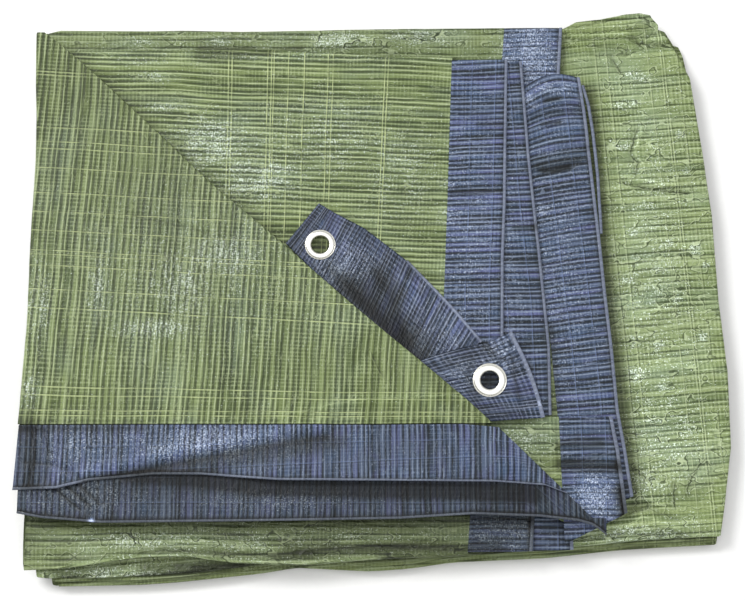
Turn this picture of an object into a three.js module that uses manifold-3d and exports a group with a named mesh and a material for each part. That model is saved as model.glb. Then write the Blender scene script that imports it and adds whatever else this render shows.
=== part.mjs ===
import * as THREE from 'three';
import { mergeVertices } from 'three/addons/utils/BufferGeometryUtils.js';
import Module from 'manifold-3d';

// A woven polyethylene tarpaulin, folded back and forth into a flat pile, with one corner turned
// down along a diagonal. Millimetres. X runs to the right, Y away from the front edge, Z up.
// The origin is under the middle of the pile, on the surface that it lies on.

// Driving sizes
const CLOTH = 1.0;           // thickness of one ply as it lies, creases and air included
const STACK_PLIES = 10;      // plies of the lower stack
const STACK_PITCH = 1.45;    // rise from one ply of the stack to the next
const UPPER_PITCH = 2.1;     // the same between the upper plies, which leave room for the hems
const GAP = 0.3;             // clearance between a border strip and the cloth that it is welded to
const HEM_CORD = 1.8;        // diameter of the hem, where the strip is turned round its cord
const HEM_RISE = 0.1;        // rise of the cord's middle above the middle of the strip
const EYELET_OUTER = 22.4;   // diameter of the eyelet's flange
const EYELET_HOLE = 12.0;    // clear hole of the eyelet
const EYELET_METAL = 0.5;    // sheet that the eyelet is pressed from
const TAB_CLEAR = 2.3;       // rise from a ply to the tab that lies on it, with the eyelet between
const TAB_DROP = 3.6;        // drop of the lower tab past the hem that it lies over
const ARC_STEPS = 3;         // straight steps round one fold

// Colours, roughness and metalness of the three materials
const OLIVE = { color: 0x84906a, roughness: 0.5, metalness: 0 };
const NAVY = { color: 0x525c72, roughness: 0.45, metalness: 0 };
const METAL = { color: 0xd8d8d2, roughness: 0.3, metalness: 0.9 };

// Heights of the plies, from the lowest up
const UPPER_PLIES = [
  'lower', 'middle', 'third', 'second', 'first', 'inner', 'flap_under', 'flap_top',
];
const LEVELS = {};
for (let i = 1; i <= STACK_PLIES; i += 1) {
  LEVELS[`stack_${i}`] = CLOTH / 2 + (i - 1) * STACK_PITCH;
}
const STACK_TOP = LEVELS[`stack_${STACK_PLIES}`];
UPPER_PLIES.forEach((name, i) => {
  LEVELS[name] = STACK_TOP + (i + 1) * UPPER_PITCH;
});

// Swells: each lifts one ply and all that lies on it, along the line from 1 to 2, and falls away
// to nothing at the reach
const SWELLS = [
  { lifts: 'stack_4', x1: -200, y1: -150, x2: -120, y2: -168, reach: 90, rise: 1.2 },
  { lifts: 'stack_6', x1: 150, y1: 150, x2: 190, y2: 190, reach: 110, rise: 1.4 },
  { lifts: 'stack_7', x1: -60, y1: 20, x2: 40, y2: -30, reach: 150, rise: 1.2 },
  { lifts: 'stack_9', x1: 200, y1: -60, x2: 205, y2: 60, reach: 80, rise: 1.0 },
  { lifts: 'lower', x1: -190, y1: -185, x2: -80, y2: -180, reach: 60, rise: 2.6 },
  { lifts: 'middle', x1: -30, y1: -175, x2: 60, y2: -175, reach: 60, rise: 1.0 },
  { lifts: 'third', x1: -150, y1: 60, x2: -60, y2: -20, reach: 110, rise: 1.0 },
  { lifts: 'inner', x1: -60, y1: 30, x2: 55, y2: -55, reach: 70, rise: 2.6 },
  { lifts: 'inner', x1: 45, y1: -62, x2: 90, y2: -92, reach: 52, rise: 3.2 },
  { lifts: 'inner', x1: -180, y1: 20, x2: -150, y2: -60, reach: 80, rise: 1.0 },
  { lifts: 'flap_under', x1: -150, y1: -80, x2: 20, y2: -100, reach: 60, rise: 1.0 },
  { lifts: 'flap_top', x1: -60, y1: -124, x2: 70, y2: -124, reach: 34, rise: 3.2 },
];

// Outlines. Each is a short table of points along an edge; between them the edge runs straight.
const STACK_RIGHT = [
  { y: -165, x: 222 }, { y: -138, x: 230 }, { y: -98, x: 236 }, { y: -48, x: 236 }, { y: 1, x: 233 },
  { y: 60, x: 231 }, { y: 101, x: 227 }, { y: 158, x: 220 }, { y: 177, x: 216 }, { y: 192, x: 204 },
  { y: 204, x: 198 },
];
const STACK_BACK = [
  { x: -228, y: 190 }, { x: -130, y: 192 }, { x: -60, y: 191 }, { x: 132, y: 194 }, { x: 159, y: 200 },
  { x: 180, y: 204 }, { x: 236, y: 202 },
];
const STACK_FRONT = [
  { x: -228, y: -186 }, { x: -210, y: -189 }, { x: -152, y: -188 }, { x: -126, y: -186 },
  { x: -74, y: -180 }, { x: -50, y: -176 }, { x: -2, y: -179 }, { x: 23, y: -178 },
  { x: 52, y: -174 }, { x: 114, y: -171 }, { x: 160, y: -167 }, { x: 223, y: -163 },
];
const STACK_LEFT = [{ y: -190, x: -209 }, { y: -150, x: -216 }, { y: 0, x: -222 }, { y: 195, x: -224 }];

// How far each ply of the stack stays inside those outlines; a minus stands outside
const STACK_INSETS = [
  { left: 5, right: 7 },
  { left: 2, right: 4 },
  { left: 7, right: 8 },
  { left: 0, right: 3 },
  { left: 4, right: 6 },
  { left: 6, right: 1 },
  { left: 1, right: 5 },
  { left: 3, right: 2 },
  { left: -6, right: 4 },
  { left: -8, right: 0 },
];

// The same for its folds, from the lowest up: those at the front join plies 1 and 2, 3 and 4 and
// so on, and those at the back join 2 and 3, 4 and 5 and so on, with a cut edge at either end
const FRONT_FOLD_INSETS = [5, 1, 0, 3, 5];
const BACK_FOLD_INSETS = [4, 5, 1, 3, 1, 0];

// The fold edge of the turned corner, from the far left down to the near right
const DIAGONAL = [
  { y: 186, x: -222 }, { y: 169, x: -206 }, { y: 131, x: -164 }, { y: 84, x: -115 }, { y: 35, x: -57 },
  { y: -21, x: 6 }, { y: -58, x: 50 }, { y: -90, x: 85 }, { y: -107, x: 102 }, { y: -131, x: 129 },
];
const DIAGONAL_OUT = new THREE.Vector3(0.68, 0.73, 0).normalize();
const FLAP_LEFT = [
  { y: -148, x: -231 }, { y: -126, x: -233 }, { y: -79, x: -231 }, { y: 46, x: -229 }, { y: 116, x: -227 },
  { y: 186, x: -229 },
];

// The value of one column of a table where another column has the value given
function along(table, key, want, at) {
  const last = table.length - 1;
  const rising = table[last][key] > table[0][key];
  for (let i = 0; i < last; i += 1) {
    const a = table[i];
    const b = table[i + 1];
    const inside = rising ? at <= b[key] : at >= b[key];
    if (inside || i === last - 1) {
      const t = THREE.MathUtils.clamp((at - a[key]) / (b[key] - a[key]), 0, 1);
      return a[want] + (b[want] - a[want]) * t;
    }
  }
  return table[last][want];
}

const PLY_ORDER = Object.keys(LEVELS);

// Height of the middle of a ply over a point of the plan
function plyHeight(ply, x, y) {
  const order = PLY_ORDER.indexOf(ply);
  let z = LEVELS[ply];
  for (const swell of SWELLS) {
    if (PLY_ORDER.indexOf(swell.lifts) <= order) {
      const crest = new THREE.Vector2(swell.x2 - swell.x1, swell.y2 - swell.y1);
      const to = new THREE.Vector2(x - swell.x1, y - swell.y1);
      const t = THREE.MathUtils.clamp(to.dot(crest) / crest.lengthSq(), 0, 1);
      const away = to.addScaledVector(crest, -t).length() / swell.reach;
      z += away < 1 ? swell.rise * Math.cos(away * Math.PI / 2) ** 2 : 0;
    }
  }
  return z;
}

// A grid of points over one ply, rows[j][i], between its four edges. Rows run from front to back
// at the fractions given, and columns from left to right. A point's place along each edge depends
// on its place along the other, so it is found in a few passes.
const PASSES = 4;

function plyGrid(ply, edges, columns, fractions) {
  return fractions.map((v) => {
    const row = [];
    for (let i = 0; i <= columns; i += 1) {
      const u = i / columns;
      let y = THREE.MathUtils.lerp(edges.front(0), edges.back(0), v);
      let x = 0;
      for (let pass = 0; pass < PASSES; pass += 1) {
        x = THREE.MathUtils.lerp(edges.left(y), edges.right(y), u);
        y = THREE.MathUtils.lerp(edges.front(x), edges.back(x), v);
      }
      row.push(new THREE.Vector3(x, y, plyHeight(ply, x, y)));
    }
    return row;
  });
}

// The rounded fold that joins two edges lying one over the other, bulging outward
function foldBetween(lower, upper, outward) {
  const rows = [];
  for (let step = 0; step <= ARC_STEPS; step += 1) {
    const angle = Math.PI * step / ARC_STEPS;
    rows.push(lower.map((point, i) => {
      const radius = (upper[i].z - point.z) / 2;
      const spot = point.clone().lerp(upper[i], (1 - Math.cos(angle)) / 2);
      return spot.addScaledVector(outward, radius * Math.sin(angle));
    }));
  }
  return rows;
}

const even = (steps) => Array.from({ length: steps + 1 }, (_, i) => i / steps);
const edge = (table, key, want, shift = 0) => (at) => along(table, key, want, at) + shift;
const level = (value) => () => value;
const FRONTWARD = new THREE.Vector3(0, -1, 0);
const BACKWARD = new THREE.Vector3(0, 1, 0);
const LEFTWARD = new THREE.Vector3(-1, 0, 0);
const frontOf = (grid) => grid[0];
const backOf = (grid) => grid[grid.length - 1];
const leftOf = (grid) => grid.map((row) => row[0]);
const rightOf = (grid) => grid.map((row) => row[row.length - 1]);

// Thickens a connected sheet of grids into one closed solid. Points that coincide become one, all
// the quads are turned the same way, and both faces stand half the thickness off the middle.
function thickenGrids(grids, thickness) {
  const points = [];
  const numberOf = new Map();
  const nameOf = (p) => [p.x, p.y, p.z].map((value) => Math.round(value * 1000)).join(',');
  const indexOf = (p) => {
    const name = nameOf(p);
    if (!numberOf.has(name)) {
      numberOf.set(name, points.length);
      points.push(p.clone());
    }
    return numberOf.get(name);
  };
  const quads = [];
  for (const grid of grids) {
    for (let j = 0; j + 1 < grid.length; j += 1) {
      for (let i = 0; i + 1 < grid[j].length; i += 1) {
        const corners = [grid[j][i], grid[j][i + 1], grid[j + 1][i + 1], grid[j + 1][i]];
        quads.push(corners.map(indexOf));
      }
    }
  }
  turnAlike(quads);
  const normals = points.map(() => new THREE.Vector3());
  for (const [a, b, c, d] of quads) {
    const across = points[c].clone().sub(points[a]);
    const other = points[d].clone().sub(points[b]);
    const facing = across.cross(other);
    [a, b, c, d].forEach((index) => normals[index].add(facing));
  }
  normals.forEach((normal) => normal.normalize());
  const positions = [];
  for (const side of [1, -1]) {
    points.forEach((point, i) => {
      const spot = point.clone().addScaledVector(normals[i], side * thickness / 2);
      positions.push(spot.x, spot.y, spot.z);
    });
  }
  const under = points.length;
  const triangles = [];
  const open = new Map();
  for (const quad of quads) {
    const [a, b, c, d] = quad;
    triangles.push(a, b, c, a, c, d);
    triangles.push(under + a, under + c, under + b, under + a, under + d, under + c);
    quad.forEach((from, k) => {
      const to = quad[(k + 1) % 4];
      if (!open.delete(`${to},${from}`)) {
        open.set(`${from},${to}`, [from, to]);
      }
    });
  }
  for (const [from, to] of open.values()) {
    triangles.push(from, under + to, to, from, under + from, under + to);
  }
  return solidFrom(positions, triangles);
}

// Turns the quads of a connected sheet so that neighbours face the same way
function turnAlike(quads) {
  const users = new Map();
  quads.forEach((quad, q) => quad.forEach((from, k) => {
    const to = quad[(k + 1) % 4];
    const name = from < to ? `${from},${to}` : `${to},${from}`;
    users.set(name, [...(users.get(name) ?? []), q]);
  }));
  const seen = new Set([0]);
  const queue = [0];
  while (queue.length > 0) {
    const q = queue.pop();
    const quad = quads[q];
    for (let k = 0; k < 4; k += 1) {
      const from = quad[k];
      const to = quad[(k + 1) % 4];
      const name = from < to ? `${from},${to}` : `${to},${from}`;
      for (const other of users.get(name)) {
        if (!seen.has(other)) {
          const turn = quads[other];
          const same = turn.some((value, m) => value === from && turn[(m + 1) % 4] === to);
          if (same) {
            turn.reverse();
          }
          seen.add(other);
          queue.push(other);
        }
      }
    }
  }
}

// A closed geometry from bare positions and triangles, turned so that its faces point out
function solidFrom(positions, triangles) {
  let volume = 0;
  const corner = (index) => new THREE.Vector3().fromArray(positions, index * 3);
  for (let t = 0; t < triangles.length; t += 3) {
    const [a, b, c] = triangles.slice(t, t + 3).map(corner);
    volume += a.dot(b.cross(c));
  }
  if (volume < 0) {
    for (let t = 0; t < triangles.length; t += 3) {
      [triangles[t], triangles[t + 1]] = [triangles[t + 1], triangles[t]];
    }
  }
  const geometry = new THREE.BufferGeometry();
  geometry.setAttribute('position', new THREE.Float32BufferAttribute(positions, 3));
  geometry.setIndex(triangles);
  return geometry;
}

// The olive cloth

const STACK_COLUMNS = 13;
const HIDDEN_ROWS = 5;
const STACK_TOP_ROWS = 9;

function stackPly(number) {
  const inset = STACK_INSETS[number - 1];
  const edges = {
    left: edge(STACK_LEFT, 'y', 'x', inset.left),
    right: edge(STACK_RIGHT, 'y', 'x', -inset.right),
    front: edge(STACK_FRONT, 'x', 'y', FRONT_FOLD_INSETS[Math.floor((number - 1) / 2)]),
    back: edge(STACK_BACK, 'x', 'y', -BACK_FOLD_INSETS[Math.floor(number / 2)]),
  };
  const rows = number === STACK_PLIES ? STACK_TOP_ROWS : HIDDEN_ROWS;
  return plyGrid(`stack_${number}`, edges, STACK_COLUMNS, even(rows));
}

const stack = [];
for (let number = 1; number <= STACK_PLIES; number += 1) {
  stack.push(stackPly(number));
}

// The right-hand edges of the upper plies, where the olive cloth meets its border strip, and
// their hems, where the strip ends
const MIDDLE_FRONT = [
  { x: -228, y: -178 }, { x: -203, y: -177 }, { x: -154, y: -170 }, { x: -121, y: -169 },
  { x: -94, y: -173 }, { x: -47, y: -174 }, { x: 5, y: -170 }, { x: 62, y: -168 },
  { x: 104, y: -165 }, { x: 131, y: -162 },
];
const MIDDLE_BACK = [
  { x: -228, y: 189 }, { x: -217, y: 192 }, { x: -93, y: 191 }, { x: 2, y: 193 }, { x: 132, y: 194 },
];
const UPPER_BACK = [{ x: -225, y: 173 }, { x: -71, y: 175 }, { x: 2, y: 170 }, { x: 93, y: 169 }];
const LOWER_SEAM = [{ y: -163, x: 91 }, { y: 194, x: 91 }];
const LOWER_HEM = [{ y: -163, x: 131 }, { y: 194, x: 130 }];
const MIDDLE_SEAM = [{ y: -168, x: 62 }, { y: 194, x: 92 }];
const MIDDLE_HEM = [{ y: -168, x: 104 }, { y: 194, x: 132 }];
const THIRD_SEAM = [
  { y: -147, x: 125 }, { y: -79, x: 124 }, { y: -5, x: 119 }, { y: 147, x: 101 }, { y: 170, x: 98 },
];
const THIRD_HEM = [
  { y: -131, x: 170 }, { y: -94, x: 167 }, { y: -68, x: 162 }, { y: -10, x: 157 }, { y: 69, x: 151 },
  { y: 130, x: 145 }, { y: 154, x: 142 },
];
const SECOND_SEAM = [
  { y: -147, x: 72 }, { y: -79, x: 78 }, { y: -5, x: 76 }, { y: 64, x: 70 }, { y: 168, x: 63 },
];
const SECOND_HEM = [
  { y: -78, x: 118 }, { y: -32, x: 118 }, { y: 31, x: 113 }, { y: 101, x: 107 }, { y: 168, x: 103 },
];
const FIRST_SEAM = [{ y: -75, x: 47 }, { y: 3, x: 48 }, { y: 68, x: 51 }, { y: 170, x: 55 }];
const FIRST_HEM = [{ y: -75, x: 86 }, { y: 27, x: 88 }, { y: 65, x: 90 }, { y: 170, x: 93 }];
const TURNED_SEAM = [{ y: -147, x: 125 }, { y: -79, x: 123 }];
const TURNED_HEM = [{ y: -142, x: 166 }, { y: -102, x: 162 }, { y: -79, x: 158 }];

const UPPER_COLUMNS = 9;
const THIRD_COLUMNS = 11;
const UPPER_ROWS = 8;
const UPPER_LEFT = -226;
const SECOND_LEFT = -221;
const HIDDEN_FRONT = -147;
const THIRD_BACK = 170;
const TURN_LINE = -79;
const lowerPly = plyGrid('lower', {
  left: level(UPPER_LEFT),
  right: edge(LOWER_SEAM, 'y', 'x'),
  front: edge(MIDDLE_FRONT, 'x', 'y'),
  back: edge(STACK_BACK, 'x', 'y'),
}, UPPER_COLUMNS, even(UPPER_ROWS));

// The middle and third plies are joined along their left edges, so their rows agree there
const thirdRows = even(UPPER_ROWS).map((v) => THREE.MathUtils.lerp(HIDDEN_FRONT, THIRD_BACK, v));
const middleEdges = {
  left: level(UPPER_LEFT),
  right: edge(MIDDLE_SEAM, 'y', 'x'),
  front: edge(MIDDLE_FRONT, 'x', 'y'),
  back: edge(MIDDLE_BACK, 'x', 'y'),
};
const middleStart = middleEdges.front(UPPER_LEFT);
const middleLength = middleEdges.back(UPPER_LEFT) - middleStart;
const middleRows = thirdRows.map((y) => (y - middleStart) / middleLength);
const middlePly = plyGrid('middle', middleEdges, UPPER_COLUMNS, [0, ...middleRows, 1]);
const thirdPly = plyGrid('third', {
  left: level(UPPER_LEFT),
  right: edge(THIRD_SEAM, 'y', 'x'),
  front: level(HIDDEN_FRONT),
  back: level(THIRD_BACK),
}, THIRD_COLUMNS, even(UPPER_ROWS));

// The second ply reaches the front only on the left; right of its seam the ply below is turned
// back over itself as far as the turn line
const SECOND_ROWS_BEHIND = 5;
const seamBack = along(UPPER_BACK, 'x', 'y', along(SECOND_SEAM, 'y', 'x', TURN_LINE));
const turnFraction = (TURN_LINE - HIDDEN_FRONT) / (seamBack - HIDDEN_FRONT);
const secondFractions = [0, turnFraction / 2];
for (const behind of even(SECOND_ROWS_BEHIND)) {
  secondFractions.push(THREE.MathUtils.lerp(turnFraction, 1, behind));
}
const secondPly = plyGrid('second', {
  left: level(SECOND_LEFT),
  right: edge(SECOND_SEAM, 'y', 'x'),
  front: level(HIDDEN_FRONT),
  back: edge(UPPER_BACK, 'x', 'y'),
}, UPPER_COLUMNS, secondFractions);
const TURNED_COLUMNS = THIRD_COLUMNS - UPPER_COLUMNS;
const turnedPly = rightOf(secondPly).slice(0, 3).map((start) => {
  const row = [start];
  const end = along(TURNED_SEAM, 'y', 'x', start.y);
  for (let i = 1; i <= TURNED_COLUMNS; i += 1) {
    const x = THREE.MathUtils.lerp(start.x, end, i / TURNED_COLUMNS);
    row.push(new THREE.Vector3(x, start.y, plyHeight('second', x, start.y)));
  }
  return row;
});

// The turned corner: an inner ply that lies on the first, and the two plies of the flap. The
// first and inner plies are joined along their left edges, and so are the two of the flap.
const FLAP_COLUMNS = 9;
const FLAP_ROWS = 10;
const FLAP_TOP_Y = 186;
const FLAP_SEAM_Y = -85;
const FLAP_UNDER_SEAM_Y = -106;
const FOLD_ROOM = 4;
const flapStep = (FLAP_TOP_Y - FLAP_SEAM_Y) / FLAP_ROWS;
const firstLeft = edge(FLAP_LEFT, 'y', 'x', 2);
const firstBack = edge(UPPER_BACK, 'x', 'y');
const firstLength = firstBack(UPPER_LEFT) - FLAP_SEAM_Y;
const firstFractions = even(FLAP_ROWS - 1).map((v) => v * (FLAP_ROWS - 1) * flapStep / firstLength);
const firstPly = plyGrid('first', {
  left: firstLeft,
  right: edge(FIRST_SEAM, 'y', 'x'),
  front: level(FLAP_SEAM_Y),
  back: firstBack,
}, UPPER_COLUMNS, [...firstFractions, 1]);
const innerPly = plyGrid('inner', {
  left: firstLeft,
  right: edge(DIAGONAL, 'y', 'x'),
  front: level(FLAP_SEAM_Y),
  back: level(FLAP_TOP_Y),
}, FLAP_COLUMNS, even(FLAP_ROWS));
const flapTop = plyGrid('flap_top', {
  left: edge(FLAP_LEFT, 'y', 'x'),
  right: edge(DIAGONAL, 'y', 'x'),
  front: level(FLAP_SEAM_Y),
  back: level(FLAP_TOP_Y),
}, FLAP_COLUMNS, even(FLAP_ROWS));
const underBack = FLAP_TOP_Y - FOLD_ROOM;
const underFractions = even(FLAP_ROWS).map((v) => {
  const y = THREE.MathUtils.lerp(FLAP_SEAM_Y, underBack, v);
  return (y - FLAP_UNDER_SEAM_Y) / (underBack - FLAP_UNDER_SEAM_Y);
});
const flapUnder = plyGrid('flap_under', {
  left: edge(FLAP_LEFT, 'y', 'x'),
  right: edge(DIAGONAL, 'y', 'x', -FOLD_ROOM),
  front: level(FLAP_UNDER_SEAM_Y),
  back: level(underBack),
}, FLAP_COLUMNS, [0, ...underFractions]);

const cloth = [
  ...stack, lowerPly, middlePly, thirdPly, secondPly, turnedPly,
  firstPly, innerPly, flapUnder, flapTop,
];
for (let i = 0; i + 1 < stack.length; i += 1) {
  const [side, outward] = i % 2 === 0 ? [frontOf, FRONTWARD] : [backOf, BACKWARD];
  cloth.push(foldBetween(side(stack[i]), side(stack[i + 1]), outward));
}
const stackTopBack = backOf(stack[stack.length - 1]).slice(0, UPPER_COLUMNS + 1);
cloth.push(foldBetween(stackTopBack, backOf(lowerPly), BACKWARD));
cloth.push(foldBetween(frontOf(lowerPly), frontOf(middlePly), FRONTWARD));
cloth.push(foldBetween(leftOf(middlePly).slice(1, -1), leftOf(thirdPly), LEFTWARD));
const secondFront = [...frontOf(secondPly), ...frontOf(turnedPly).slice(1)];
cloth.push(foldBetween(frontOf(thirdPly), secondFront, FRONTWARD));
cloth.push(foldBetween(backOf(secondPly), backOf(firstPly), BACKWARD));
cloth.push(foldBetween(leftOf(firstPly).slice(0, -1), leftOf(innerPly).slice(0, -1), LEFTWARD));
cloth.push(foldBetween(rightOf(innerPly), rightOf(flapTop), DIAGONAL_OUT));
cloth.push(foldBetween(leftOf(flapUnder).slice(1), leftOf(flapTop), LEFTWARD));

// The border strips

const HEM_SIDES = 5;

// A strip between its seam and its hem, which is turned round a cord along the outer edge
function borderStrip(strip) {
  const [seamTable, hemTable] = STRIP_EDGES[strip.name];
  const seam = stripEdge(seamTable, strip.runs, strip.seam);
  const hem = stripEdge(hemTable, strip.runs, strip.hem);
  const radius = HEM_CORD / 2;
  const half = CLOTH / 2;
  const rings = [];
  for (let k = 0; k <= strip.stations; k += 1) {
    const from = seam(k / strip.stations);
    const to = hem(k / strip.stations);
    const width = from.distanceTo(to);
    const across = to.clone().sub(from).normalize();
    const spot = (reach, rise) => {
      const plan = from.clone().addScaledVector(across, reach);
      return new THREE.Vector3(plan.x, plan.y, plyHeight(strip.ply, plan.x, plan.y) + rise);
    };
    const cordMiddle = width - radius;
    const meetAbove = Math.asin((half - HEM_RISE) / radius);
    const meetBelow = Math.asin((half + HEM_RISE) / radius);
    const flats = [GAP, width / 3, 2 * width / 3];
    const ring = flats.map((reach) => spot(reach, half));
    const round = 2 * Math.PI - meetAbove - meetBelow;
    for (let step = 0; step <= HEM_SIDES; step += 1) {
      const angle = Math.PI - meetAbove - round * step / HEM_SIDES;
      ring.push(spot(cordMiddle + radius * Math.cos(angle), HEM_RISE + radius * Math.sin(angle)));
    }
    ring.push(...flats.reverse().map((reach) => spot(reach, -half)));
    rings.push(ring);
  }
  return solidFromRings(rings);
}

// A closed solid through a row of like outlines, with flat ends. The diagonals of its upper and
// lower halves run alike, so that a thin twisted strip doesn't cut through itself.
function solidFromRings(rings) {
  const around = rings[0].length;
  const positions = rings.flat().flatMap((point) => [point.x, point.y, point.z]);
  const triangles = [];
  for (let k = 0; k + 1 < rings.length; k += 1) {
    for (let i = 0; i < around; i += 1) {
      const a = k * around + i;
      const b = k * around + (i + 1) % around;
      if (i < around / 2) {
        triangles.push(a, b, b + around, a, b + around, a + around);
      } else {
        triangles.push(a, b, a + around, b, b + around, a + around);
      }
    }
  }
  const last = (rings.length - 1) * around;
  for (let i = 0; i < around / 2 - 1; i += 1) {
    const [a, b, c, d] = [i, i + 1, around - 2 - i, around - 1 - i];
    triangles.push(a, c, b, a, d, c);
    triangles.push(last + a, last + b, last + c, last + a, last + c, last + d);
  }
  return solidFrom(positions, triangles);
}

// An edge of a strip between two ends, as points of the plan
function stripEdge(table, runs, [from, to]) {
  return (t) => {
    const at = THREE.MathUtils.lerp(from, to, t);
    return runs === 'y'
      ? new THREE.Vector2(along(table, 'y', 'x', at), at)
      : new THREE.Vector2(at, along(table, 'x', 'y', at));
  };
}

const FLAP_TOP_SEAM = [{ x: -231, y: -85 }, { x: 60, y: -85.2 }, { x: 84, y: -87 }];
const FLAP_TOP_HEM = [
  { x: -233, y: -127 }, { x: -205, y: -126 }, { x: -184, y: -121 }, { x: -143, y: -117 },
  { x: -111, y: -117 }, { x: -61, y: -121 }, { x: 18, y: -122 }, { x: 80, y: -123 },
  { x: 112, y: -125 }, { x: 128, y: -131 },
];
const FLAP_UNDER_SEAM = [{ x: -230, y: -106 }, { x: 102, y: -106 }];
const FLAP_UNDER_HEM = [
  { x: -230, y: -142 }, { x: -214, y: -145 }, { x: -175, y: -148 }, { x: -70, y: -147 },
  { x: 18, y: -146 }, { x: 65, y: -143 }, { x: 101, y: -144 }, { x: 134, y: -148 }, { x: 150, y: -157 },
];
const STRIP_EDGES = {
  lower: [LOWER_SEAM, LOWER_HEM],
  middle: [MIDDLE_SEAM, MIDDLE_HEM],
  third: [THIRD_SEAM, THIRD_HEM],
  turned: [TURNED_SEAM, TURNED_HEM],
  second: [SECOND_SEAM, SECOND_HEM],
  first: [FIRST_SEAM, FIRST_HEM],
  flap_under: [FLAP_UNDER_SEAM, FLAP_UNDER_HEM],
  flap_top: [FLAP_TOP_SEAM, FLAP_TOP_HEM],
};

// Each strip lies at the height of a ply, and runs from front to back, along y, or from left to
// right, along x. The ends of its seam and of its hem are named apart, as some are cut slanting.
const STRIPS = [
  { name: 'lower', ply: 'lower', runs: 'y', seam: [-162, 192], hem: [-162, 192], stations: 10 },
  { name: 'middle', ply: 'middle', runs: 'y', seam: [-167, 193.5], hem: [-165, 193.5], stations: 12 },
  { name: 'third', ply: 'third', runs: 'y', seam: [-146.5, 147], hem: [-131, 154], stations: 12 },
  { name: 'turned', ply: 'second', runs: 'y', seam: [-147, TURN_LINE], hem: [-142, TURN_LINE], stations: 5 },
  { name: 'second', ply: 'second', runs: 'y', seam: [-78, 167], hem: [-78, 167], stations: 10 },
  { name: 'first', ply: 'first', runs: 'y', seam: [-75, 168], hem: [-75, 168], stations: 10 },
  { name: 'flap_under', ply: 'flap_under', runs: 'x', seam: [-230, 100], hem: [-230, 150], stations: 14 },
  { name: 'flap_top', ply: 'flap_top', runs: 'x', seam: [-231, 84], hem: [-233, 128], stations: 14 },
];

// The two corner tabs and their eyelets

const wasm = await Module();
wasm.setup();

// A solid for joining and cutting, with its shared points merged
function toManifold(geometry) {
  const bare = geometry.clone();
  bare.deleteAttribute('normal');
  bare.deleteAttribute('uv');
  const merged = mergeVertices(bare);
  return new wasm.Manifold(new wasm.Mesh({
    numProp: 3,
    vertProperties: new Float32Array(merged.attributes.position.array),
    triVerts: new Uint32Array(merged.index.array),
  }));
}

function fromManifold(solid) {
  const mesh = solid.getMesh();
  return solidFrom([...mesh.vertProperties], [...mesh.triVerts]);
}

// The upper tab lies on the first ply, and the lower one on the upper, dropping past its hem
const TAB_DROP_FROM = 89;
const TAB_DROP_TO = 112;
const tabHeights = {
  tab_upper: (x, y) => plyHeight('first', x, y) + TAB_CLEAR,
  tab_lower: (x, y) => {
    const drop = TAB_DROP * THREE.MathUtils.smoothstep(x, TAB_DROP_FROM, TAB_DROP_TO);
    return plyHeight('first', x, y) + 2 * TAB_CLEAR - drop;
  },
};

// Each tab lies between its far and near edges, both given from left to right. Its right-hand end
// bows out, and its hem runs along the right of the far edge or along the right-hand end.
const TABS = {
  tab_upper: {
    edges: [
      { farX: -36, farY: 65, nearX: -58, nearY: 37 }, { farX: -25, farY: 58, nearX: -44, nearY: 23 },
      { farX: -6, farY: 48, nearX: -28, nearY: 6 }, { farX: 22, farY: 26, nearX: 2, nearY: -23 },
      { farX: 52, farY: -6, nearX: 30, nearY: -48 }, { farX: 72, farY: -30, nearX: 48, nearY: -62 },
    ],
    bow: 0,
    hem: (grid) => backOf(grid).slice(3),
    eyelet: { x: -35, y: 36 },
  },
  tab_lower: {
    edges: [
      { farX: 28, farY: -44, nearX: 66, nearY: -82 }, { farX: 46, farY: -38, nearX: 76, nearY: -83 },
      { farX: 60, farY: -34, nearX: 88, nearY: -82 }, { farX: 76, farY: -31, nearX: 100, nearY: -81 },
      { farX: 91, farY: -24, nearX: 112, nearY: -80 },
    ],
    bow: 2.5,
    hem: rightOf,
    eyelet: { x: 77, y: -56 },
  },
};
const TAB_ROWS = 4;
const TAB_HOLE = EYELET_HOLE / 2 + EYELET_METAL + GAP;
const ROUND_STEPS = 28;
const CUTTER_LENGTH = 4;
const SHORTEST_EDGE = 0.05;

function tabSolid(name) {
  const tab = TABS[name];
  const height = tabHeights[name];
  const grid = even(TAB_ROWS).map((v) => tab.edges.map((row, i) => {
    const bow = tab.bow * Math.sin(Math.PI * v) * i / (tab.edges.length - 1);
    const x = THREE.MathUtils.lerp(row.nearX, row.farX, v) + bow;
    const y = THREE.MathUtils.lerp(row.nearY, row.farY, v);
    return new THREE.Vector3(x, y, height(x, y));
  }));
  const { x, y } = tab.eyelet;
  const cutter = new THREE.CylinderGeometry(TAB_HOLE, TAB_HOLE, CUTTER_LENGTH, ROUND_STEPS);
  cutter.rotateX(Math.PI / 2);
  cutter.translate(x, y, height(x, y));
  const sheet = toManifold(thickenGrids([grid], CLOTH));
  const hem = toManifold(hemRod(tab.hem(grid)));
  return fromManifold(sheet.add(hem).subtract(toManifold(cutter)).simplify(SHORTEST_EDGE));
}

// The hem of a tab: a round rod along the edge given, a little short of its ends and turned a
// little, so that its faces don't lie in those of the tab
const ROD_SHORT = 0.6;
const ROD_TURN = 0.4;

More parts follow.
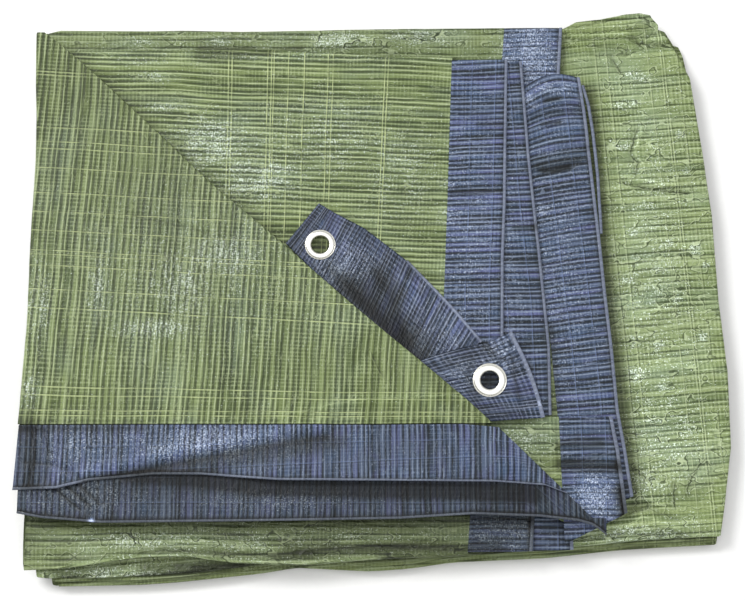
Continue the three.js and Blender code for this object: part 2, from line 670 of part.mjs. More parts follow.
function hemRod(route) {
  const last = route.length - 1;
  const ends = { 0: route[1], [last]: route[last - 1] };
  const rings = route.map((corner, k) => {
    const middle = corner.clone();
    if (k in ends) {
      middle.addScaledVector(ends[k].clone().sub(corner).normalize(), ROD_SHORT);
    }
    const before = route[Math.max(k - 1, 0)];
    const after = route[Math.min(k + 1, route.length - 1)];
    const side = new THREE.Vector3(after.y - before.y, before.x - after.x, 0).normalize();
    return even(HEM_SIDES).map((turn) => {
      const angle = ROD_TURN + 2 * Math.PI * turn * HEM_SIDES / (HEM_SIDES + 1);
      const spot = middle.clone().addScaledVector(side, HEM_CORD / 2 * Math.cos(angle));
      spot.z += HEM_CORD / 2 * Math.sin(angle) + HEM_RISE;
      return spot;
    });
  });
  return solidFromRings(rings);
}

// The eyelet: a rounded flange above the tab, a barrel through it and a flat washer below
const CROWN_RISE = 0.95;
const MOUTH_ROUND = 0.6;
const FLANGE_SLOPE = 1.8;
const RIM_ROUND = 0.4;
const WASHER_INSET = 1;
const LIP = 0.4;

function eyeletSolid(name) {
  const { x, y } = TABS[name].eyelet;
  const clear = CLOTH / 2 + GAP;
  const hole = EYELET_HOLE / 2;
  const barrel = hole + EYELET_METAL;
  const rim = EYELET_OUTER / 2;
  const washer = rim - WASHER_INSET;
  const crown = clear + CROWN_RISE;
  const foot = -clear - EYELET_METAL;
  const lip = foot + LIP / 2;
  const profile = [
    { reach: hole, rise: lip },
    { reach: hole, rise: crown - MOUTH_ROUND },
    { reach: hole + 1, rise: crown },
    { reach: rim - FLANGE_SLOPE, rise: crown },
    { reach: rim - RIM_ROUND, rise: clear + RIM_ROUND },
    { reach: rim, rise: clear },
    { reach: barrel, rise: clear },
    { reach: barrel, rise: -clear },
    { reach: washer, rise: -clear },
    { reach: washer, rise: foot },
    { reach: hole + LIP, rise: foot },
    { reach: hole, rise: lip },
  ];
  const points = profile.map((row) => new THREE.Vector2(row.reach, row.rise));
  const ring = new THREE.LatheGeometry(points, ROUND_STEPS);
  ring.rotateX(Math.PI / 2);
  ring.translate(x, y, tabHeights[name](x, y));
  return fromManifold(toManifold(ring));
}

// The whole pile, set so that its box stands centred on the origin
const CENTRE = new THREE.Vector3(1.5, 6.8, 0);
const group = new THREE.Group();
group.name = 'folded_tarp';
group.position.copy(CENTRE).negate();
group.updateMatrixWorld(true);

function add(name, geometry, look) {
  const mesh = new THREE.Mesh(geometry, new THREE.MeshStandardMaterial(look));
  mesh.name = name;
  group.add(mesh);
}

add('tarp_cloth', thickenGrids(cloth, CLOTH), OLIVE);
for (const strip of STRIPS) {
  add(`border_${strip.name}`, borderStrip(strip), NAVY);
}
for (const name of Object.keys(TABS)) {
  add(name, tabSolid(name), NAVY);
  add(name.replace('tab', 'eyelet'), eyeletSolid(name), METAL);
}

export default group;
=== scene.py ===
# %% [markdown]
# A folded tarpaulin, dressed over its imported solids
#
# The real thing is one sheet of woven polyethylene, about 1.5 by 2 metres, with a blue border welded
# along its edges, folded back and forth into a flat pile. Its corner is turned down along a diagonal.
# It could be made by simulating a sheet that is folded again and again, but a simulation seldom ends
# in the very folds that are wanted. So each ply is laid here one by one, between edges given in
# millimetres, and the plies are joined by rounded folds, as the solids are.

# %% Load the imported solids
import math

import bmesh
import bpy
import numpy as np
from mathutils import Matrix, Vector, noise


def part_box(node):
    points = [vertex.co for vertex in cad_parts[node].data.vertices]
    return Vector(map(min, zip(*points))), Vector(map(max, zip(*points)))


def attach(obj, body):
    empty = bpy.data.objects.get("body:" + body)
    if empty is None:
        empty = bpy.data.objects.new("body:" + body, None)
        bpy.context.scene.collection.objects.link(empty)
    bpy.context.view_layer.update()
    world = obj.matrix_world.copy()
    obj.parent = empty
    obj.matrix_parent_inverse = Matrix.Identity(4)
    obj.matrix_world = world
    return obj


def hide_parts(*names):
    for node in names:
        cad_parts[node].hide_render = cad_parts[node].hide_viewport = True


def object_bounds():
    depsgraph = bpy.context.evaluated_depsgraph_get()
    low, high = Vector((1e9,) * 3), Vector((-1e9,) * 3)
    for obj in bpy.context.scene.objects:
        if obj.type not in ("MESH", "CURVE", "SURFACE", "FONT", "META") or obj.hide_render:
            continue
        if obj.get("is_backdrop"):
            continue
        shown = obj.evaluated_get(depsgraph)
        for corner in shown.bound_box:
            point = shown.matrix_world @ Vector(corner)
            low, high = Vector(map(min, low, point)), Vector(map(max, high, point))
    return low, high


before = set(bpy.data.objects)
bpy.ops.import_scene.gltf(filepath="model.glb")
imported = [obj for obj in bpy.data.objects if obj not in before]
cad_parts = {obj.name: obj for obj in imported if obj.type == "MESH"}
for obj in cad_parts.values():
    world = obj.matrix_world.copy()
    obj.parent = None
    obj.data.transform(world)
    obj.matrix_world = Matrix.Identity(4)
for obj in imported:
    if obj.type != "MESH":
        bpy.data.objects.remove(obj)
cad_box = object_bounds()
print("nodes in the frame:", len(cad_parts))

# %% [markdown]
# The camera
#
# It stands 1.1 m from the pile and leans 12 degrees off the vertical, towards the front edge. The
# plan of the pile is drawn about its own zero. The upper eyelet is at a known place of that plan,
# so the box of its solid says how far the plan is moved to stand in the frame.

# %% Place the plan and the camera
# The middle of each eyelet on the plan, in millimetres
EYELETS = {"upper": (-35, 36), "lower": (77, -56)}
# From the sum of two corners in metres to their middle in millimetres
HALF_IN_MM = 1000 / 2
eyelet_low, eyelet_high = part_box("eyelet_upper")
PLAN_SHIFT = (
    (eyelet_low.x + eyelet_high.x) * HALF_IN_MM - EYELETS["upper"][0],
    (eyelet_low.y + eyelet_high.y) * HALF_IN_MM - EYELETS["upper"][1],
)
CAMERA_LEAN = math.radians(12)
CAMERA_DISTANCE = 1100
CAMERA_LENS = 79.33
AIM_HEIGHT = 20


def metres(x, y, z):
    """Points of the plan, in millimetres, as points of the frame in metres."""
    return np.stack([x + PLAN_SHIFT[0], y + PLAN_SHIFT[1], z], axis=-1) / 1000


camera = bpy.data.objects.new("camera", bpy.data.cameras.new("camera"))
bpy.context.scene.collection.objects.link(camera)
camera.data.lens = CAMERA_LENS
camera.location = metres(
    0,
    -CAMERA_DISTANCE * math.sin(CAMERA_LEAN),
    AIM_HEIGHT + CAMERA_DISTANCE * math.cos(CAMERA_LEAN),
)
camera.rotation_euler = (CAMERA_LEAN, 0, 0)
bpy.context.scene.camera = camera
print("plan shift, mm:", [round(value, 2) for value in PLAN_SHIFT])

# %% [markdown]
# The plan of the folds
#
# A folded sheet is easiest to draw as its plies, from the lowest up, each at its own height. Each edge
# is a short table. A side edge gives x at a few places along y, and a front or back edge gives y at a
# few places along x. Between the rows of a table the edge runs straight.

# %% Heights of the plies
CLOTH = 1.0
STACK_PLIES = 10
STACK_PITCH = 1.45
UPPER_PITCH = 2.1
UPPER_PLIES = ("lower", "middle", "third", "second", "first", "inner", "flap_under", "flap_top")
LEVELS = {f"stack_{i + 1}": CLOTH / 2 + i * STACK_PITCH for i in range(STACK_PLIES)}
stack_top_level = LEVELS[f"stack_{STACK_PLIES}"]
for i, ply in enumerate(UPPER_PLIES):
    LEVELS[ply] = stack_top_level + (i + 1) * UPPER_PITCH
ORDER = list(LEVELS)

# Each swell lifts one ply and all above it, along a line from (x1, y1) to (x2, y2)
SWELLS = [
    # lifts, x1, y1, x2, y2, reach, rise
    ("stack_4", -200, -150, -120, -168, 90, 1.2),
    ("stack_6", 150, 150, 190, 190, 110, 1.4),
    ("stack_7", -60, 20, 40, -30, 150, 1.2),
    ("stack_9", 200, -60, 205, 60, 80, 1.0),
    ("lower", -190, -185, -80, -180, 60, 2.6),
    ("middle", -30, -175, 60, -175, 60, 1.0),
    ("third", -150, 60, -60, -20, 110, 1.0),
    ("inner", -60, 30, 55, -55, 70, 2.6),
    ("inner", 45, -62, 90, -92, 52, 3.2),
    ("inner", -180, 20, -150, -60, 80, 1.0),
    ("flap_under", -150, -80, 20, -100, 60, 1.0),
    ("flap_top", -60, -124, 70, -124, 34, 3.2),
]


def beside(x, y, x1, y1, x2, y2):
    """How far each point lies from the line between two points of the plan."""
    span = (x2 - x1) ** 2 + (y2 - y1) ** 2
    t = np.clip(((x - x1) * (x2 - x1) + (y - y1) * (y2 - y1)) / max(span, 1e-9), 0, 1)
    return np.hypot(x - x1 - t * (x2 - x1), y - y1 - t * (y2 - y1))


def ply_height(ply, x, y):
    """Height of the middle of a ply, in millimetres, as in its solid."""
    z = np.full(np.shape(x), LEVELS[ply])
    for lifts, x1, y1, x2, y2, reach, rise in SWELLS:
        if ORDER.index(lifts) <= ORDER.index(ply):
            away = np.minimum(beside(x, y, x1, y1, x2, y2) / reach, 1)
            z = z + rise * np.cos(away * math.pi / 2) ** 2
    return z


print("top ply at", round(LEVELS["flap_top"], 2), "mm")

# %% Edges of the plies
STACK_RIGHT = [
    (-165, 226), (-138, 231), (-98, 237), (-48, 237), (1, 233), (60, 231), (101, 227), (158, 220),
    (177, 216), (192, 204), (204, 198),
]
STACK_BACK = [
    (-228, 190), (-130, 192), (-60, 191), (131, 194), (135, 196), (142, 199.5), (159, 201.5),
    (176, 205), (186, 206), (236, 202),
]
STACK_FRONT = [
    (-228, -186), (-210, -188.2), (-152, -187.2), (-126, -185.4), (-74, -180), (-50, -176),
    (-2, -178.4), (23, -176.8), (52, -172.6), (114, -169.8), (160, -164.8), (185, -163.2), (226, -161),
]
# The plies of the stack end in three steps at the right-hand back corner
CORNER_STEPS = {
    # the last ply of the step: rows of the right edge, rows of the back edge
    5: (
        [(161, 223.5), (178, 220.5), (184, 218)],
        [(170, 205), (198, 192), (209, 185.5), (236, 182.5)],
    ),
    9: (
        [(170, 217.5), (180, 213.5), (186, 210.3), (192, 206.8)],
        [(180, 204), (199, 195), (206, 192.5), (236, 188)],
    ),
    10: (
        [(173, 213), (186, 206), (193, 199), (197, 199.5), (204, 194)],
        [(187, 206), (197, 204), (236, 200)],
    ),
}
STACK_LEFT = [(-190, -209), (-150, -216), (0, -222), (195, -224)]
STACK_LEFT_INSETS = (5, 2, 7, 0, 4, 6, 1, 3, -6, -8)
STACK_RIGHT_INSETS = (7, 4, 8, 3, 6, 1, 5, 2, 4, 0)
FRONT_FOLD_INSETS = (5, 1, 0, 3, 5)
BACK_FOLD_INSETS = (4, 5, 1, 3, 1, 0)

MIDDLE_FRONT = [
    (-228, -178), (-203, -177), (-154, -170), (-121, -169), (-94, -173), (-47, -174), (5, -170),
    (62, -168), (104, -165), (131, -162),
]
MIDDLE_BACK = [(-228, 189), (-217, 192), (-93, 191), (2, 193), (132, 194)]
UPPER_BACK = [(-225, 173), (-71, 175), (2, 170), (93, 169)]
LOWER_SEAM = [(-168, 91), (194, 91)]
LOWER_HEM = [(-167, 131), (194, 130)]
MIDDLE_SEAM = [(-168, 62), (194, 92)]
MIDDLE_HEM = [(-168, 104), (194, 132)]
THIRD_SEAM = [
    (-147, 125), (-79, 122.5), (-32, 119), (31, 112.5), (101, 106), (147, 101), (170, 98),
]
THIRD_HEM = [
    (-131, 170.6), (-100, 166.6), (-74, 162.6), (-34, 160), (7, 156.5), (43, 153.8), (78, 150.8), (95, 149.3),
    (119, 147.4), (133, 146), (156, 143),
]
SECOND_SEAM = [(-147, 72), (-79, 78), (-5, 76), (64, 70), (168, 63)]
SECOND_HEM = [(-78, 118), (-32, 118), (31, 113), (101, 107), (168, 103)]
FIRST_SEAM = [(-75, 47), (3, 48), (68, 51), (170, 55)]
FIRST_HEM = [(-75, 86), (27, 88), (65, 90), (170, 93)]
TURNED_SEAM = [(-162, 125), (-79, 123)]
TURNED_HEM = [(-142, 166), (-102, 162), (-79, 158)]
DIAGONAL = [
    (186, -226), (180, -218), (166, -201.5), (151, -185), (137, -170.5), (109, -141), (95, -127),
    (81, -112.5), (53, -80.5), (32, -56.5), (10, -32), (-11, -8), (-33, 18), (-58, 47), (-76, 68),
    (-90, 83), (-107, 100.5), (-131, 127),
]
FLAP_LEFT = [
    (-148, -231), (-126, -233), (-85, -231), (-45, -229), (-15, -227.8), (46, -227.8), (95, -226.6),
    (125, -227.6), (150, -229.3), (186, -230.3),
]
FLAP_TOP_SEAM = [(-231, -86), (60, -86), (84, -88)]
FLAP_TOP_HEM = [
    (-233, -128.2), (-205, -127.2), (-184, -122.2), (-143, -118.2), (-111, -118.2), (-61, -122),
    (18, -122.5), (80, -123), (112, -125), (128, -131),
]
FLAP_UNDER_SEAM = [(-230, -106), (100, -106), (123, -127), (137, -141), (142, -146), (153, -146.5)]
FLAP_UNDER_HEM = [
    (-230, -143), (-214, -146), (-175, -149.2), (-70, -148), (18, -146.5), (65, -143.5), (108, -145),
    (133, -147.8), (142, -150.3), (147, -153.6), (153, -159),
]
UPPER_LEFT = -226
SECOND_LEFT = -221
HIDDEN_FRONT = [(-228, -139), (112, -139), (124, -147), (130, -147)]
HIDDEN_FRONT_Y = -147
THIRD_BACK = 160
TURN_LINE = -79
FLAP_TOP_Y = 186
FLAP_SEAM_Y = -85
FLAP_UNDER_SEAM_Y = -106
FIRST_LEFT_INSET = 2
FOLD_ROOM = 4


def along(table, at, shift=0):
    """The value of a table at a place, straight between its rows."""
    rows = sorted(table)
    return np.interp(at, [row[0] for row in rows], [row[1] for row in rows]) + shift


def edge(table, shift=0):
    """An edge of a ply as a function of the place along it."""
    return lambda at: along(table, at, shift)


def level(value):
    """A straight edge that runs level."""
    return lambda at: np.full(np.shape(at), float(value))


# %% [markdown]
# Creases, crumples and shine
#
# Polyethylene cloth keeps every crease that it was ever given. On the pile three kinds show: slow
# waves, a fine crumple where the coated face has been rubbed, which glitters, and a few sharp creases.
# They could be sculpted, but a table of lines and patches can be read and mended. Smooth noise gives
# the waves, and noise folded at zero gives the crumple its sharp ridges.

# %% Creases
# Each is a route of points on one ply; a minus is a trough and a plus a ridge
CREASES = [
    # ply, points, width, rise
    ("stack_10", ((134, 196), (153, 198), (166, 201), (187, 203), (195, 200)), 1.7, -1.6),
    ("stack_10", ((133, 192), (152, 192), (173, 194), (196, 196)), 1.7, -1.9),
    ("stack_10", ((133, 187), (155, 188), (169, 188), (186, 189)), 1.6, -1.2),
    ("stack_10", ((133, 190), (160, 190), (180, 191)), 2.4, 1.2),
    ("stack_10", ((180, 191), (186, 183), (193, 190), (198, 191)), 1.7, -1.8),
    ("stack_10", ((178, 187), (186, 183), (207, 184)), 1.7, -1.5),
    ("stack_10", ((190, 186), (204, 187)), 2.0, 1.2),
    ("stack_10", ((150, 182), (177, 180), (176, 175), (156, 175)), 1.5, -1.2),
    ("stack_10", ((176, 175), (189, 180), (197, 182), (207, 181)), 1.6, -1.4),
    ("stack_10", ((160, 172), (176, 173), (186, 178)), 2.4, 1.1),
    ("stack_10", ((166, 173), (172, 163)), 1.6, -2.4),
    ("stack_10", ((182, 121), (177, 104), (182, 97), (180, 88)), 1.6, -1.7),
    ("stack_10", ((185, 121), (180, 104), (185, 97)), 1.8, 1.0),
    ("stack_10", ((172, 83), (183, 80), (196, 78), (215, 76)), 1.5, -2.6),
    ("stack_10", ((173, 87), (190, 84), (208, 81)), 2.0, 1.3),
    ("stack_10", ((199, -122), (198, -138)), 1.6, -2.1),
    ("stack_10", ((173, -112), (181, -120), (186, -119)), 1.8, -1.4),
    ("stack_10", ((219, -107), (211, -117), (207, -127), (208, -130)), 1.8, -1.4),
    ("stack_10", ((189, -154), (194, -164)), 2.0, -1.6),
    ("stack_10", ((130, -158), (160, -155), (190, -156), (222, -153)), 1.7, -1.4),
    ("stack_10", ((140, -163), (175, -161), (224, -158)), 1.7, -1.3),
    ("stack_10", ((132, -152), (170, -149), (200, -151)), 2.0, 1.1),
    ("stack_10", ((-205, -184), (-178, -181), (-145, -183)), 1.8, -1.3),
    ("stack_10", ((-190, -187), (-160, -184), (-120, -181), (-100, -178)), 1.8, -1.3),
    ("stack_10", ((-190, -181), (-150, -179), (-118, -177)), 1.6, 1.0),
    ("stack_10", ((-200, -189), (-150, -186), (-110, -183), (-90, -182)), 1.6, -1.2),
    ("stack_10", ((-196, -186), (-170, -183), (-140, -184)), 1.6, 1.0),
    ("middle", ((-212, -163), (-180, -168), (-140, -164)), 2.0, 0.8),
    ("middle", ((-150, -166), (-110, -167), (-60, -170)), 2.0, -0.9),
    ("middle", ((-50, -167), (0, -163), (50, -163)), 2.0, -0.9),
    ("stack_10", ((156, -148), (170, -141), (182, -136)), 1.6, -1.1),
    ("stack_10", ((168, -150), (176, -144), (188, -146)), 1.6, 1.0),
    ("stack_10", ((160, -156), (178, -150), (196, -152), (206, -158)), 1.6, -1.2),
    ("stack_10", ((186, -146), (192, -154), (190, -160)), 1.6, 1.0),
    ("stack_10", ((163, -134), (178, -131), (190, -136)), 2.2, 1.4),
    ("stack_10", ((165, -141), (182, -139), (200, -146)), 2.2, -1.3),
    ("stack_10", ((205, 40), (226, 34)), 3.0, 0.8),
    ("stack_10", ((176, -10), (215, 2)), 3.5, 0.8),
    ("stack_10", ((176, -50), (200, -44), (228, -46)), 3.0, 1.0),
    ("first", ((-79, 168), (2, 172)), 3.0, 0.6),
    ("first", ((18, 12), (24, 8), (30, 0), (32, -5)), 1.8, -1.2),
    ("first", ((24, 14), (36, 2)), 2.4, 0.7),
    ("middle", ((-79, 179), (2, 186)), 2.4, 0.9),
    ("middle", ((112, 155), (124, 159), (133, 157)), 2.0, 1.2),
    ("middle", ((-205, -153), (-190, -159)), 2.6, 0.8),
    ("middle", ((-203, -171), (-180, -160)), 2.6, -0.6),
    ("middle", ((-188, -164), (-146, -160), (-100, -163), (-60, -165)), 3.0, 0.8),
    ("middle", ((-170, -158), (-120, -155), (-80, -157)), 2.6, -0.6),
    ("middle", ((-20, -160), (30, -158), (62, -160)), 3.0, 0.7),
    ("middle", ((-30, -165), (20, -164), (60, -166)), 2.4, -0.7),
    ("flap_under", ((-206, -127), (-190, -140)), 2.0, -1.1),
    ("flap_under", ((-200, -124), (-183, -138)), 2.0, -1.1),
    ("flap_under", ((-193, -123), (-176, -137)), 2.0, -0.9),
    ("flap_top", ((-187, -117), (-145, -107), (-122, -102), (-90, -96), (-59, -89), (-35, -86)), 5.0, 1.0),
    ("flap_top", ((-187, -123), (-145, -114), (-122, -109), (-90, -103), (-59, -97), (-30, -93)), 3.6, -1.0),
    ("flap_top", ((-222, -89), (-220, -106), (-223, -124)), 2.0, -1.1),
    ("flap_top", ((-214, -90), (-210, -106), (-212, -122)), 2.0, -1.0),
    ("flap_top", ((-226, -110), (-205, -112), (-190, -120)), 2.0, -0.7),
    ("flap_top", ((-62, -80), (-10, -69), (50, -67), (70, -70)), 2.4, 0.8),
    ("flap_top", ((-1, -39), (7, -54)), 1.6, -0.9),
    ("flap_top", ((-160, 55), (-128, 48), (-108, 42)), 1.8, -0.7),
    ("second", ((124, -83), (130, -80), (137, -79), (147, -81), (157, -82)), 2.0, 0.9),
    ("second", ((126, -103), (143, -104), (158, -102)), 2.2, 0.8),
    ("second", ((126, -108), (141, -107), (156, -102)), 2.0, -0.8),
    ("second", ((128, -118), (160, -124)), 2.5, 0.8),
    ("second", ((80, -96), (108, -92)), 2.6, -0.6),
    ("second", ((84, -104), (116, -100)), 2.6, 0.6),
    ("third", ((108, 143), (124, 147), (140, 150)), 2.4, 1.0),
    ("third", ((112, 128), (142, 134)), 2.6, -0.8),
    ("third", ((110, 96), (148, 106)), 3.0, -0.7),
    ("third", ((114, 90), (125, 89.5), (137, 92.5)), 2.2, -1.0),
    ("third", ((118, 140), (129, 142)), 2.0, -1.0),
    ("third", ((116, 123), (129, 124.5)), 1.8, -0.9),
    ("first", ((52, 74), (70, 73), (88, 75)), 2.0, -0.9),
    ("tab_upper", ((2, 18), (14, -2), (24, -30)), 5.0, -1.1),
    ("tab_upper", ((14, 22), (34, -8), (44, -40)), 4.0, 0.7),
    ("tab_lower", ((76, -32), (92, -48), (98, -74)), 2.4, -0.8),
    ("tab_lower", ((48, -42), (62, -52), (70, -70)), 2.4, -0.7),
    ("tab_lower", ((40, -48), (66, -46)), 2.2, -0.6),
    ("tab_lower", ((80, -72), (106, -70)), 2.2, 0.6),
]
print("creases:", len(CREASES))

# %% Patches of crumple, with painted glints and sheen
SHINE = [
    # ply, x, y, reach in x, reach in y, strength
    ("first", -108, 108, 34, 24, 1.0),
    ("first", -76, 84, 36, 20, 1.0),
    ("first", -30, 112, 60, 40, 0.62),
    ("first", 20, 90, 36, 50, 0.62),
    ("first", -150, 156, 18, 4, 0.8),
    ("first", -164, 167, 24, 3, 0.7),
    ("first", -140, 134, 20, 5, 0.8),
    ("first", -60, 171, 150, 5, 0.5),
    ("middle", -109, 184, 15, 4, 1.0),
    ("middle", -22, 185, 32, 8, 1.0),
    ("middle", 30, 187, 32, 7, 1.0),
    ("middle", -163, 184, 24, 4, 0.8),
    ("middle", -60, 184, 160, 12, 0.5),
    ("middle", 110, 174, 30, 26, 1.0),
    ("middle", -150, -160, 60, 14, 0.7),
    ("middle", -30, -160, 60, 16, 0.6),
    ("middle", 90, -155, 40, 14, 0.8),
    ("flap_top", -100, 28, 32, 18, 1.0),
    ("flap_top", -120, 20, 100, 76, 0.5),
    ("middle", -60, -160, 170, 20, 0.6),
    ("stack_10", -150, -183, 80, 10, 1.0),
    ("stack_10", -60, -179, 60, 6, 0.7),
    ("third", 122, 20, 30, 130, 0.5),
    ("second", 84, 20, 20, 130, 0.5),
    ("first", 64, 20, 22, 130, 0.5),
    ("flap_top", -128, 8, 26, 30, 0.9),
    ("flap_top", -182, 4, 12, 30, 0.75),
    ("flap_top", -145, -22, 34, 9, 0.95),
    ("flap_top", -221, -4, 9, 36, 0.8),
    ("flap_top", -224, -62, 6, 14, 1.0),
    ("flap_top", -112, -98, 66, 14, 0.85),
    ("flap_top", -195, -100, 26, 16, 0.7),
    ("flap_under", -190, -132, 40, 12, 0.85),
    ("flap_under", -60, -134, 60, 8, 0.6),
    ("stack_10", 183, 159, 14, 7, 0.85),
    ("stack_10", 175, 139, 14, 6, 0.85),
    ("stack_10", 171, 110, 12, 6, 0.9),
    ("stack_10", 190, 84, 5, 3, 1.0),
    ("stack_10", 212, 117, 4, 5, 1.0),
    ("stack_10", 215, 91, 3, 3, 1.0),
    ("stack_10", 178, 48, 6, 4, 1.0),
    ("stack_10", 202, 41, 4, 3, 1.0),
    ("stack_10", 219, 38, 5, 6, 1.0),
    ("stack_10", 178, 30, 6, 4, 1.0),
    ("stack_10", 192, 23, 6, 3, 1.0),
    ("stack_10", 225, 25, 3, 4, 1.0),
    ("stack_10", 174, 14, 8, 4, 1.0),
    ("stack_10", 187, 0, 5, 3, 1.0),
    ("stack_10", 204, 2, 4, 3, 1.0),
    ("stack_10", 176, -26, 7, 6, 1.0),
    ("stack_10", 192, -30, 5, 5, 1.0),
    ("stack_10", 221, -24, 5, 4, 1.0),
    ("stack_10", 176, -50, 10, 8, 1.0),
    ("stack_10", 193, -58, 7, 4, 1.0),
    ("stack_10", 164, -94, 9, 8, 0.9),
    ("stack_10", 178, -122, 26, 18, 0.7),
    ("stack_10", 200, -150, 24, 8, 0.6),
    ("stack_10", 190, 20, 44, 200, 0.55),
    ("stack_10", 192, -90, 40, 50, 0.68),
    ("stack_10", 172, -156, 60, 8, 0.85),
    ("second", 146, -131, 18, 17, 1.0),
    ("second", 100, -96, 26, 18, 0.7),
    ("second", 76, 40, 14, 6, 0.9),
    ("first", 50, 80, 10, 5, 0.9),
    ("first", 52, 58, 14, 8, 0.8),
    ("third", 100, 141, 14, 9, 1.0),
    ("third", 124, 149, 22, 5, 0.8),
    ("third", 112, 62, 16, 5, 0.9),
    ("third", 110, 20, 14, 8, 0.8),
    ("tab_upper", -18, 22, 22, 15, 0.9),
    ("tab_upper", 40, -30, 20, 20, 0.5),
    ("tab_lower", 84, -38, 16, 14, 0.75),
    ("tab_lower", 60, -52, 16, 12, 0.7),
]
print("patches of crumple:", len(SHINE))

# %% Patches where the bands of the weave are stretched away and hardly show
FADES = [
    # ply, x, y, reach in x, reach in y, strength
    ("stack_10", 178, 174, 40, 16, 0.9),
    ("stack_10", 163, 97, 18, 14, 0.7),
    ("stack_10", 168, 50, 20, 10, 0.6),
    ("stack_10", 198, -50, 20, 14, 0.6),
    ("stack_10", 190, -105, 30, 10, 0.5),
    ("stack_10", 210, -140, 18, 20, 0.6),
    ("flap_top", -150, 93, 16, 8, 0.5),
    ("flap_top", -135, -52, 12, 12, 0.4),
    ("flap_top", -40, -50, 22, 20, 0.4),
    ("flap_top", 20, -50, 60, 36, 0.3),
    ("flap_top", -60, -106, 220, 15, 0.45),
    ("flap_under", -60, -132, 220, 22, 0.4),
    ("middle", 85, -155, 50, 20, 0.35),
    ("middle", 110, 174, 30, 22, 0.4),
    ("third", 122, 134, 34, 26, 0.35),
    ("second", 146, -70, 20, 20, 0.3),
    ("second", 146, -131, 18, 17, 0.7),
    ("first", 15, 150, 40, 12, 0.3),
    ("first", -130, 150, 30, 6, 0.3),
    ("third", 130, 40, 14, 16, 0.3),
]
print("patches where the bands fade:", len(FADES))

# %% Relief of a ply
WAVE_LENGTH = 60
WAVE_RISE = 0.45
CRUMPLE_LENGTH = 15
CRUMPLE_RISE = 0.30
# How steeply the noise falls away on both sides of a crumple's ridge
RIDGE_FALL = 2.6
# The crumple outside the patches, on most plies and on two that are rubbed all over
CRUMPLE_PLAIN = 0.25
CRUMPLE_SHARES = {"stack_10": 0.7, "middle": 0.5}
HIDDEN_SHARE = 0.35
# Deeper troughs would cut through the ply below
DEEPEST = -1.15
# Each ply has noise of its own, for its waves and again for its crumple
SEED_SPACING = 7.31
CRUMPLE_SEED = 20


def beside_route(x, y, route):
    """How far each point lies from a route of points."""
    legs = zip(route[:-1], route[1:]) if len(route) > 1 else [(route[0], route[0])]
    return np.min([beside(x, y, *start, *end) for start, end in legs], axis=0)


def ripple(x, y, length, seed):
    """Smooth noise from -1 to 1, with waves of about the length given."""
    spots = zip(np.ravel(x), np.ravel(y))
    values = [noise.noise(Vector((a / length, b / length, seed * SEED_SPACING))) for a, b in spots]
    return np.reshape(values, np.shape(x))


def strongest(patches, ply, x, y):
    """The strongest of the patches of a ply at each point, from 0 to 1."""
    total = np.zeros(np.shape(x))
    for on, at_x, at_y, reach_x, reach_y, strength in patches:
        if on == ply:
            away = ((x - at_x) / reach_x) ** 2 + ((y - at_y) / reach_y) ** 2
            total = np.maximum(total, strength * np.exp(-away))
    return total


def creases(ply, x, y, share=1):
    """What the creases of a ply add up to, at their own width or a share of it."""
    total = np.zeros(np.shape(x))
    for on, route, width, rise in CREASES:
        if on == ply:
            total = total + rise * np.exp(-((beside_route(x, y, route) / width / share) ** 2))
    return total


def relief(ply, x, y):
    """What the waves, the crumple and the creases add to the height of a ply."""
    seed = ORDER.index(ply)
    hidden = ply.startswith("stack") and ply != "stack_10"
    share = HIDDEN_SHARE if hidden else 1
    z = share * WAVE_RISE * ripple(x, y, WAVE_LENGTH, seed)
    if hidden:
        return z
    ridged = 1 - RIDGE_FALL * np.abs(ripple(x, y, CRUMPLE_LENGTH, seed + CRUMPLE_SEED))
    rubbed = CRUMPLE_SHARES.get(ply, CRUMPLE_PLAIN) + strongest(SHINE, ply, x, y)
    z = z + CRUMPLE_RISE * ridged * rubbed
    return np.maximum(z + creases(ply, x, y), DEEPEST)
